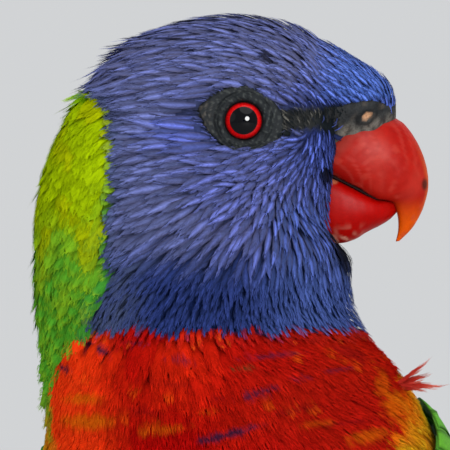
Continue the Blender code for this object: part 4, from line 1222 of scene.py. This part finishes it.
def make_wing(side, name):
    vanes = []
    for row, count, roots, tips, root_places, tip_places, half_width, lift, outline in WING_ROWS:
        for i in range(count):
            down = i / (count - 1)
            root = (np.interp(down, (0, 1), roots), np.interp(down, (0, 1), root_places))
            tip = (np.interp(down, (0, 1), tips), np.interp(down, (0, 1), tip_places))

            def place_at(t, a):
                share = root[0] + (tip[0] - root[0]) * t
                middle = wing_angle(share, root[1] + (tip[1] - root[1]) * t)
                centre = ring_frame(curve(WING, (1 - share) * (len(WING) - 1)))[0]
                reach = np.linalg.norm(wing_place(share, middle, 0 * t, side) - centre, axis=-1)
                out = (table(WING_RISE, share) + (lift - 0.07 * i) * np.minimum(1, 0.25 + t) + 0.33 * a) * MM
                angle = middle + a * half_width * MM / reach
                here = wing_place(share, angle, out, side)
                return here, unit(wing_place(share, angle, out + MM, side) - here)

            def colours_of(t, a):
                green = mix(np.broadcast_to(GREEN, (len(t), 3)), LEAF, np.clip(0.3 + 0.25 * math.sin(i * 2.3) + 0 * t, 0, 1))
                dark = lin(26, 38, 30)
                inner = smooth(a, -0.15, -0.7)
                share = {"primary": 0.8, "secondary": 0.55}.get(row, 0.35)
                top = mix(green, dark, inner * share)
                if row == "primary":
                    top = mix(top, dark, smooth(t, 0.55, 0.95) * 0.75)
                top = mix(top, lin(18, 34, 20), np.exp(-(a / 0.06) ** 2) * 0.7)
                top = mix(top, lin(20, 50, 18), smooth(np.abs(a), 0.86, 1.0) * 0.65)
                below = np.broadcast_to(lin(66, 122, 36), top.shape)
                return top, below

            vanes.append(broad_vane(20, 11, outline, place_at, 0.3 * MM, colours_of))
    return broad_piece(name, vanes, FLIGHT_PLUMAGE, (name,))


def make_tail():
    slope = math.radians(10.5)
    back = np.array((0, math.cos(slope), -math.sin(slope)))
    rise = np.array((0, math.sin(slope), math.cos(slope)))
    aside = np.array((1.0, 0, 0))
    root = BODY_ORIGIN + np.array((0, 70.0, 27.2)) * MM
    vanes = []
    pairs = [(124, 2.2, 1.3), (117, 3.1, 3.0), (106.5, 4.0, 4.8), (94, 4.9, 6.5), (81, 5.8, 7.9), (68, 6.7, 9.0)]
    for order, (length, root_aside, tip_aside) in enumerate(pairs):
        for side in (1, -1):
            def place_at(t, a):
                across = side * (root_aside + (tip_aside - root_aside) * np.minimum(1, 1.6 * t)) + a * 5.4
                drop = order * 0.5 + (0.3 if side < 0 else 0)
                here = (root + back * ((6 + length * t) * MM)[..., None] + aside * (across * MM)[..., None]
                        - rise * (drop * MM))
                return here, np.broadcast_to(rise, here.shape)

            def colours_of(t, a):
                outer = smooth(a * side, -0.2, 0.9)
                green = mix(np.broadcast_to(lin(52, 128, 30), (len(t), 3)), LEAF, outer * 0.6)
                top = mix(green, lin(24, 66, 28), np.exp(-(a / 0.07) ** 2) * 0.7)
                top = mix(top, lin(28, 74, 24), smooth(np.abs(a), 0.85, 1.0) * 0.5)
                top = mix(top, lin(40, 84, 60), smooth(t, 0.85, 1.0) * 0.5)
                below = mix(np.broadcast_to(lin(150, 140, 30), top.shape), lin(96, 110, 40), smooth(t, 0.4, 1) * 0.7)
                return top, below

            vanes.append(broad_vane(26, 9, TAIL, place_at, 0.25 * MM, colours_of))
    return broad_piece("tail_feathers", vanes, FLIGHT_PLUMAGE, ("tail",))


make_wing(1, "wing_left").name = "wing_feathers_left"
make_wing(-1, "wing_right").name = "wing_feathers_right"
make_tail()


# Eyes: a wet ball with a red iris round a wide pupil, set behind a rim of dark pebbled skin

def make_eye(side, name, node):
    radius = 3.95
    rings = np.concatenate([np.linspace(0, 2.0, 8), (2.12, 2.2, 2.25, 2.3, 2.45, 2.65, 2.8, 2.88, 3.0),
                            np.linspace(3.15, 3.9, 6)])
    angles = np.concatenate([np.arcsin(rings / radius), np.linspace(math.pi / 2, math.pi * 0.97, 8)])
    turn = np.linspace(0, 2 * math.pi, 72, endpoint=False)
    dome = np.sin(angles)[:, None, None] * (np.cos(turn)[:, None] * FORWARD + np.sin(turn)[:, None] * UP)
    ball = EYES[side] + (dome + np.cos(angles)[:, None, None] * LEFT * side) * radius * MM
    seen = np.sin(angles)[:, None] * radius + 0 * turn[None]
    facing = np.cos(angles)[:, None] + 0 * turn[None] > 0
    rays = 1 + 0.10 * np.sin(turn * 31)[None] + 0.08 * np.sin(turn * 53 + 1)[None]
    black, red = lin(4, 4, 8), lin(200, 11, 14)
    tint = mix(np.broadcast_to(black, (*seen.shape, 3)), red, smooth(seen, 2.2, 2.3) * facing)
    tint = mix(tint, lin(150, 6, 10), smooth(seen, 2.62, 2.85))
    tint = mix(tint, lin(12, 12, 14), smooth(seen, 2.84, 2.95))
    tint = np.where(facing[..., None], tint, lin(40, 30, 30))
    tint = tint * rays[..., None]
    tris = lattice(len(angles), 72, closed=True, ends=True)
    return piece(name, ball.reshape(-1, 3), tris if side < 0 else tris[:, ::-1], EYE, tint.reshape(-1, 3), (node,))


def make_eye_ring(side, name):
    """The rim of the lids and the bare skin round it, laid on the head."""
    around, across = 120, 30
    turn = np.linspace(-math.pi, math.pi, around, endpoint=False)
    outer = table(RING, np.degrees(turn)) + 0.9
    share = np.linspace(0, 1, across)
    r = 2.86 + (outer[None] - 2.86) * share[:, None]
    u, w = r * np.cos(turn), r * np.sin(turn)
    middle = 10.7
    lid = 13.29 - middle
    rim = lid + np.sqrt(np.clip(0.75 ** 2 - (r - 3.86) ** 2, 0, None))
    inner = np.sqrt(np.clip(3.95 ** 2 - r ** 2, 0, None)) - 0.15
    close = np.where(r < 3.25, mix(inner, rim, smooth(r, 3.02, 3.25)), rim)
    skin_v = np.zeros_like(r)
    head = BVHTree.FromPolygons(*(part.tolist() for part in mesh_arrays(NODES["head"].data)))
    for i in range(across):
        for j in range(around):
            start = head_place(u[i, j], side * 30.0, w[i, j])
            place = head.ray_cast(Vector(start), Vector(-side * LEFT))[0]
            skin_v[i, j] = (head_frame(np.array(place))[1] * side - middle) if place else 3.4
    far = smooth(r, 4.3, 4.9)
    height = mix3(close, skin_v + 0.1, far)
    height = height - 1.3 * smooth(share, 0.8, 1.0)[:, None]
    wrinkle = 0.05 * patches(np.stack([u, w, 0 * u], -1) * MM, 0.45, 5) * np.exp(-((r - 3.8) / 0.9) ** 2)
    pebble = 0.05 * (patches(np.stack([u, w, 0 * u], -1) * MM, 0.9, 3))
    v = side * (middle + height + wrinkle + pebble)
    points = head_place(u, v, w)
    speck = patches(np.stack([u, w, 0 * u], -1) * MM, 0.33, 4)
    tint = mix(np.broadcast_to(lin(27, 31, 34), (*r.shape, 3)), lin(70, 74, 72), smooth(speck, 0.5, 1.2) * 0.6)
    tint = mix(tint, lin(96, 84, 74), smooth(-u, 4.5, 7) * 0.4 * smooth(speck, 0.0, 0.8))
    tint = mix(tint, lin(12, 14, 16), 1 - smooth(r, 3.0, 3.5))
    tris = lattice(across, around, closed=True)
    return piece(name, points.reshape(-1, 3), tris if side < 0 else tris[:, ::-1], BARE_SKIN, tint.reshape(-1, 3))


for hand, side in (("left", 1), ("right", -1)):
    make_eye(side, f"eyeball_{hand}", f"eye_{hand}")
    make_eye_ring(side, f"eye_ring_{hand}")


# Cere: dark bare skin over the bill, with the nostrils in it

HEAD_FRONT = [(11.0, 14.4, -9.0, 10.0), (13.3, 13.0, -7.0, 9.6), (14.2, 12.6, -5.6, 8.9), (16.0, 11.4, -4.9, 8.3),
              (18.6, 9.9, -4.2, 7.8), (21.2, 8.2, -3.4, 7.1), (23.0, 6.8, -1.7, 5.6), (24.2, 5.3, -.4, 4.2), (24.8, 3.9, .6, 2.2)]
NOSTRIL = (20.0, 0.9)


def superring(turn, half, rise, drop, fullness=2.12, below=None):
    """A ring whose upper half has one fullness and whose lower half may have another."""
    c, s = np.cos(turn), np.sin(turn)
    power = 2 / np.where(c > 0, fullness, below or fullness)
    x = np.sign(s) * np.abs(s) ** power * half
    y = np.sign(c) * np.abs(c) ** power * np.where(c > 0, rise, drop)
    return x, y


def make_cere():
    stations = curve(HEAD_FRONT, np.linspace(0.5, 8, 52))
    turn = np.linspace(0, 2 * math.pi, 96, endpoint=False)
    u = stations[:, :1] + 0 * turn
    middle = 0.5 * (stations[:, 1:2] + stations[:, 2:3])
    reach = 0.5 * (stations[:, 1:2] - stations[:, 2:3])
    x, y = superring(turn[None], stations[:, 3:4], reach, reach)
    w = middle + y
    tilt = np.array(((0.86, 0.5), (-0.5, 0.86)))
    local = np.stack([u - NOSTRIL[0], w - NOSTRIL[1]], -1) @ tilt.T
    pit = np.hypot(local[..., 0] / 0.85, local[..., 1] / 0.5)
    rim = 0.30 * np.exp(-((pit - 1.75) / 0.6) ** 2) - 0.45 * np.exp(-(pit / 1.0) ** 2)
    rough = 0.10 * patches(head_place(u, x, w), 1.3, 1)
    bare = (1 - smooth(w - np.interp(u, *CERE_TOP), -0.3, 0.7)) * smooth(u, 12.4, 13.6)
    grow_out = (rim + rough + 0.12 - 1.3 * (1 - bare)) / np.maximum(np.hypot(x, y), 1)
    points = head_place(u, x * (1 + grow_out), middle + y * (1 + grow_out))
    speck = patches(head_place(u, x, w), 1.1, 6)
    fine = patches(head_place(u, x, w), 0.6, 7)
    # Darkest under the feathers and behind, palest along the bill
    pale = 1 - smooth(w - np.interp(u, (13, 16, 19, 24), (-3.6, -2.6, -1.6, -.4)), 0.4, 2.6)
    tint = mix(np.broadcast_to(lin(40, 42, 44), (*u.shape, 3)), lin(128, 123, 114), pale * smooth(u, 13.5, 16) * (0.75 + 0.25 * speck))
    tint = mix(tint, lin(104, 92, 80), smooth(speck, 0.3, 1.3) * 0.4 * smooth(u, 14, 17))
    tint = mix(tint, lin(20, 20, 22), smooth(fine, 0.1, 1.1) * 0.6)
    tint = mix(tint, lin(22, 24, 26), np.exp(-((pit - 1.9) / 0.75) ** 2) * 0.85)
    tint = mix(tint, lin(196, 148, 112), 1 - smooth(pit, 0.75, 1.15))
    return piece("cere_skin", points.reshape(-1, 3), lattice(52, 96, closed=True, ends=True)[:, ::-1], BARE_SKIN,
                 tint.reshape(-1, 3))


make_cere()


# Bill

UPPER_BILL = [(16.5, 4.6, 11.5, -7.6, 5.4), (21.5, 3.4, 13.2, -8.4, 6.3), (24.2, 1, 15, -9.2, 6.6),
              (26.2, -.4, 17, -10.2, 6.5), (28, -2.8, 18.9, -11.1, 6.1), (29.3, -5.5, 20.5, -12.1, 5.5),
              (30, -8.2, 21.8, -12.7, 4.8), (30.1, -10.7, 23.1, -12.8, 4), (29.6, -13, 24.4, -13.3, 3.1),
              (28.8, -15.1, 25.1, -15.3, 2.2), (27.4, -17.4, 25.2, -17.5, 1.3), (25.4, -19.4, 24.8, -19.5, .5)]
LOWER_BILL = [(11, -8.0, 11, -19, 5), (14.4, -8.9, 14.8, -19.8, 5.6), (17.2, -10.3, 17.8, -19.3, 5.5),
              (19.6, -11.65, 20.2, -17.9, 5), (21.6, -12.6, 22.2, -16.9, 4.2), (23.3, -12.8, 23.8, -15.9, 3),
              (24.8, -13.2, 25.0, -14.7, 1.2)]
UPPER_EDGE = [row[2:4] for row in UPPER_BILL]
LOWER_EDGE = [row[:2] for row in LOWER_BILL]


def make_mouth():
    """The dark lining that shows between the mandibles."""
    u = np.linspace(11.5, 23.6, 30)
    top, low = table(UPPER_EDGE, u), table(LOWER_EDGE, u)
    half = np.interp(u, (11, 15, 19, 22, 24), (4.0, 4.6, 4.0, 2.6, 0.6))
    turn = np.linspace(0, 2 * math.pi, 32, endpoint=False)
    x = np.sin(turn) * half[:, None]
    w = 0.5 * (top + low)[:, None] + np.cos(turn) * (0.5 * (top - low) + 0.5)[:, None]
    points = head_place(u[:, None] + 0 * x, x, w)
    tint = np.broadcast_to(lin(34, 14, 14), (*x.shape, 3))
    return piece("mouth_lining", points.reshape(-1, 3), lattice(30, 32, closed=True, ends=True)[:, ::-1], BARE_SKIN,
                 tint.reshape(-1, 3))


def bill_part(name, stations, share, fullness, colours_of, ridges):
    """A mandible as a fine loft. Share is where its ring's middle sits between edge and far side."""
    rows, around = 110, 88
    t = np.linspace(0, len(stations) - 1, rows)
    s = curve(stations, t)
    far, edge = s[:, 0:2], s[:, 2:4]
    line = far - edge
    depth = np.linalg.norm(line, axis=1)
    rise = line / depth[:, None]
    turn = np.linspace(0, 2 * math.pi, around, endpoint=False)
    x, y = superring(turn[None], s[:, 4:5], depth[:, None] * (1 - share), depth[:, None] * share, *fullness)
    centre = edge + rise * (depth * share)[:, None]
    u = centre[:, :1] + rise[:, :1] * y
    w = centre[:, 1:] + rise[:, 1:] * y
    grain = 1 + ridges * (np.sin(t[:, None] * 9 + 0.8 * np.cos(turn)) * 0.006 + 0.012 * patches(head_place(u, x, w), 3.0, 7))
    points = head_place(u + (u - centre[:, :1]) * (grain - 1), x * grain, w + (w - centre[:, 1:]) * (grain - 1))
    tint = colours_of(u, x, w, t[:, None] / (len(stations) - 1), np.cos(turn)[None] + 0 * u)
    return piece(f"{name}_horn", points.reshape(-1, 3), lattice(rows, around, closed=True, ends=True)[:, ::-1], HORN,
                 tint.reshape(-1, 3), (name,))


def upper_colours(u, v, w, t, up):
    places = head_place(u, v, w)
    blotch, fine = patches(places, 4.0, 8), patches(places, 1.2, 9)
    tint = mix(np.broadcast_to(lin(171, 24, 14), (*u.shape, 3)), lin(188, 54, 42), smooth(blotch, 0.0, 1.4) * 0.5)
    tint = mix(tint, lin(158, 14, 9), smooth(-blotch, 0.1, 1.2) * 0.6)
    tint = mix(tint, lin(218, 82, 0), smooth(t, 0.66, 0.9))
    tint = mix(tint, lin(214, 92, 18), smooth(up, 0.80, 1.0) * smooth(t, 0.3, 0.6) * 0.75)
    tint = mix(tint, lin(206, 84, 66), smooth(fine, 0.9, 1.8) * 0.22)
    lines = np.sin(3.2 * np.hypot(u - 12.5, w + 10.5) + 2.2 * blotch)
    tint = mix(tint, lin(214, 92, 78), smooth(lines, 0.3, 1.0) * (1 - smooth(t, 0.3, 0.55)) * 0.16)
    spot = np.sqrt(((u - 29.4) / 0.6) ** 2 + ((w + 10.2) / 1.0) ** 2 + ((v + 2.2) / 1.8) ** 2)
    tint = mix(tint, lin(60, 28, 16), (1 - smooth(spot, 0.5, 1.3)) * 0.85)
    # Painted shade along the lower edge of the upper bill, where it meets the mouth
    tint = mix(tint, lin(40, 12, 10), (1 - smooth(up, -1.0, -0.93)) * (1 - smooth(t, 0.6, 0.75)) * 0.9)
    tint = mix(tint, lin(150, 60, 50), (1 - smooth(u - 12 - 0.9 * np.clip(w + 8, 0, 12), 0.4, 2.4)) * 0.5)
    return tint


def lower_colours(u, v, w, t, up):
    places = head_place(u, v, w)
    blotch, fine = patches(places, 3.5, 10), patches(places, 1.1, 11)
    tint = mix(np.broadcast_to(lin(171, 3, 0), (*u.shape, 3)), lin(180, 16, 8), smooth(blotch, 0.2, 1.2) * 0.4)
    crust = patches(places, 0.9, 12) + 0.5 * fine
    flake = smooth(-up, 0.42, 0.85) * (1 - smooth(u, 16.5, 20.5))
    tint = mix(tint, lin(216, 138, 118), flake * smooth(crust, -0.1, 0.9) * 0.9)
    gape = np.hypot((u - 14.6) / 0.8, (w + 9.6) / 0.6)
    tint = mix(tint, lin(206, 122, 84), (1 - smooth(gape, 0.5, 1.3)) * 0.8)
    # Painted shade along the upper edge of the lower bill, where it meets the mouth
    tint = mix(tint, lin(40, 12, 10), smooth(up, 0.93, 1.0) * 0.9)
    return tint


bill_part("bill_upper", UPPER_BILL, 0.42, (2.2, 3.6), upper_colours, 0.2)
bill_part("bill_lower", LOWER_BILL, 0.62, (3.4, 2.2), lower_colours, 0.3)
make_mouth()


# Feet and claws

TOES = [("inner_front", -13, 15.0), ("outer_front", 15, 19.5), ("outer_back", 150, 16.5), ("inner_back", 199, 11.0)]
ANKLE = np.array((18.5, 8.0, 0.0))
SHANK = [((-17.6, 18.6, 23.0), 2.3), ((-16.4, 18.6, 18.0), 2.5), ((-13.0, 18.6, 11.5), 2.2),
         ((-8.4, 18.5, 5.4), 2.9), ((-7.0, 18.5, 3.2), 2.6)]
PADS = [(-.05, 4.9, 1.02), (.18, 2.9, 1.1), (.36, 1.95, 1), (.52, 1.85, 1.08), (.7, 1.75, .92), (.86, 1.75, .98),
        (1, 1.8, .7)]


def tube(path, radii, around, ridge=0.0, pitch=1.2):
    """A round tube, with scutes across its upper side where ridge is over 0, in millimetres."""
    ahead = unit(np.gradient(path, axis=0))
    reference = np.where(np.abs(ahead[:, 2:]) < 0.9, UP, np.array((0, 1.0, 0)))
    aside = unit(np.cross(ahead, reference))
    rise = np.cross(aside, ahead)
    turn = np.linspace(0, 2 * math.pi, around, endpoint=False)
    run = np.concatenate([[0], np.cumsum(np.linalg.norm(np.diff(path, axis=0), axis=1))]) / MM
    wave = np.abs(np.sin(run * math.pi / pitch))[:, None] ** 0.5 * ridge * smooth(np.cos(turn), -0.3, 0.4)[None]
    r = radii[:, None] + wave * MM
    points = (path[:, None] + aside[:, None] * (np.sin(turn) * r)[..., None] + rise[:, None] * (np.cos(turn) * r)[..., None])
    return points.reshape(-1, 3), lattice(len(path), around, closed=True, ends=True)


def dense(rows, count):
    return curve(np.asarray(rows, float), np.linspace(0, len(rows) - 1, count))


def toe_way(side, turn):
    turn = math.radians(turn)
    return np.array((side * math.sin(turn), -math.cos(turn), 0))


def make_foot(side, hand):
    ankle = BODY_ORIGIN + ANKLE * (side, 1, 1) * MM
    ankle[2] = 0
    parts = []
    rows = dense([(*p, r) for p, r in SHANK], 40)
    path = BODY_ORIGIN * (1, 1, 0) + np.stack([side * rows[:, 1], -rows[:, 0], rows[:, 2]], -1) * MM
    parts.append((*tube(path, rows[:, 3] * MM, 28, 0.18, 1.6), np.zeros(3)))
    for label, turn, length in TOES:
        way = toe_way(side, turn)
        rows = dense(PADS, 60)
        path = ankle + way * (rows[:, :1] * length * MM) + UP * rows[:, 1:2] * MM
        parts.append((*tube(path, rows[:, 2] * 2.1 * MM, 28, 0.2, 1.25), np.zeros(3)))
    points, tris, _ = stacked(parts)
    rough = bpy.data.meshes.new("rough_foot")
    rough.from_pydata(points.tolist(), [], tris.tolist())
    temp = bpy.data.objects.new("rough_foot", rough)
    bpy.context.scene.collection.objects.link(temp)
    remesh = temp.modifiers.new("remesh", "REMESH")
    remesh.mode = "VOXEL"
    remesh.voxel_size = 0.38 * MM
    graph = bpy.context.evaluated_depsgraph_get()
    mesh = bpy.data.meshes.new_from_object(temp.evaluated_get(graph), depsgraph=graph)
    bpy.data.objects.remove(temp)
    points, tris = mesh_arrays(mesh)
    bpy.data.meshes.remove(mesh)
    points, tris = largest(points, tris)
    points[:, 2] = np.maximum(points[:, 2], 0.02 * MM)
    grime = patches(points, 2.0, 3)
    tint = mix(np.broadcast_to(lin(112, 112, 110), points.shape), lin(70, 70, 70), smooth(grime, -0.5, 0.8) * 0.7)
    tint = mix(tint, lin(140, 132, 120), smooth(-points[:, 2] / MM, -0.8, -0.1) * 0.6)
    return piece(f"foot_skin_{hand}", points, tris, FOOT_SKIN, tint, (f"foot_{hand}",))


def make_claw(side, hand, label, turn, length):
    way = toe_way(side, turn)
    ankle = BODY_ORIGIN + ANKLE * (side, 1, 1) * MM
    ankle[2] = 0
    start = ankle + way * (length - 1.2) * MM + UP * 2.3 * MM
    s = np.linspace(0, 1, 26)
    ahead = 7.0 * 0.91 * np.sin(s * 1.25)
    rise = 1.5 * np.sin(s * 0.8 * math.pi) - 2.0 * s ** 2.2
    path = start + way * ahead[:, None] * MM + UP * rise[:, None] * MM
    radii = 1.25 * ((1 - s) ** 0.7 + 0.10) * MM
    points, tris = tube(path, radii, 20)
    tint = mix(np.broadcast_to(lin(58, 54, 52), points.shape), lin(24, 22, 22), np.repeat(smooth(s, 0.1, 0.8), 20))
    name = f"claw_{hand}_{label}"
    return piece(f"{name}_horn", points, tris, CLAW, tint, (name,))


for hand, side in (("left", 1), ("right", -1)):
    make_foot(side, hand)
    for label, turn, length in TOES:
        make_claw(side, hand, label, turn, length)


# Floor, light and camera

def area_light(name, place, aim, size, power, colour=(1, 1, 1)):
    data = bpy.data.lights.new(name, "AREA")
    data.shape = "DISK"
    data.size = size
    data.energy = power
    data.color = colour
    made = bpy.data.objects.new(name, data)
    bpy.context.scene.collection.objects.link(made)
    made.location = Vector(place)
    made.rotation_euler = (Vector(aim) - Vector(place)).to_track_quat("-Z", "Y").to_euler()
    return made


floor_points = np.array([(-2, -2, 0), (2, -2, 0), (2, 2, 0), (-2, 2, 0)], float)
floor_mesh = bpy.data.meshes.new("floor")
floor_mesh.from_pydata(floor_points.tolist(), [], [(0, 1, 2, 3)])
floor = bpy.data.objects.new("floor", floor_mesh)
bpy.context.scene.collection.objects.link(floor)
pale, pale_tree, pale_shader = nodes_of("pale_floor", 0.8, 0.2)
pale_shader.inputs["Base Color"].default_value = (*lin(214, 216, 216), 1)
floor_mesh.materials.append(pale)

CAMERA_WAY = -LEFT
RIGHT = FORWARD
aim = head_place(-3.0, 0.0, -16.8)
DISTANCE = 1.2
FRAME_WIDTH = 72.6 * MM
camera_data = bpy.data.cameras.new("camera")
camera_data.sensor_width = 36.0
camera_data.lens = 36.0 * (DISTANCE - 11 * MM) / FRAME_WIDTH
camera_data.clip_start = 0.01
camera = bpy.data.objects.new("camera", camera_data)
bpy.context.scene.collection.objects.link(camera)
camera.location = Vector(aim + CAMERA_WAY * DISTANCE)
camera.rotation_euler = Vector(-CAMERA_WAY).to_track_quat("-Z", "Y").to_euler()
bpy.context.scene.camera = camera


def lit_from(right, up, distance):
    """A place seen from the bird at degrees to the right of the camera and up."""
    r, e = math.radians(right), math.radians(up)
    way = (CAMERA_WAY * math.cos(r) + RIGHT * math.sin(r)) * math.cos(e) + UP * math.sin(e)
    return HEAD_ORIGIN + way * distance


area_light("key", lit_from(17, 10, 0.95), HEAD_ORIGIN, 0.3, 2.4)
glint = area_light("glint", lit_from(17, 10, 0.94), HEAD_ORIGIN, 0.34, 20)
glint.visible_diffuse = False
area_light("top", lit_from(20, 58, 1.0), HEAD_ORIGIN, 1.0, 5)
area_light("fill", lit_from(-60, 15, 1.3), HEAD_ORIGIN, 0.9, 1.0)
area_light("rear", lit_from(170, 40, 1.3), HEAD_ORIGIN, 0.9, 1.6)
world = bpy.data.worlds.new("studio")
world.use_nodes = True
world.node_tree.nodes["Background"].inputs["Color"].default_value = (*lin(226, 228, 230), 1)
world.node_tree.nodes["Background"].inputs["Strength"].default_value = 0.84
bpy.context.scene.world = world
bpy.context.scene.view_settings.view_transform = "Standard"
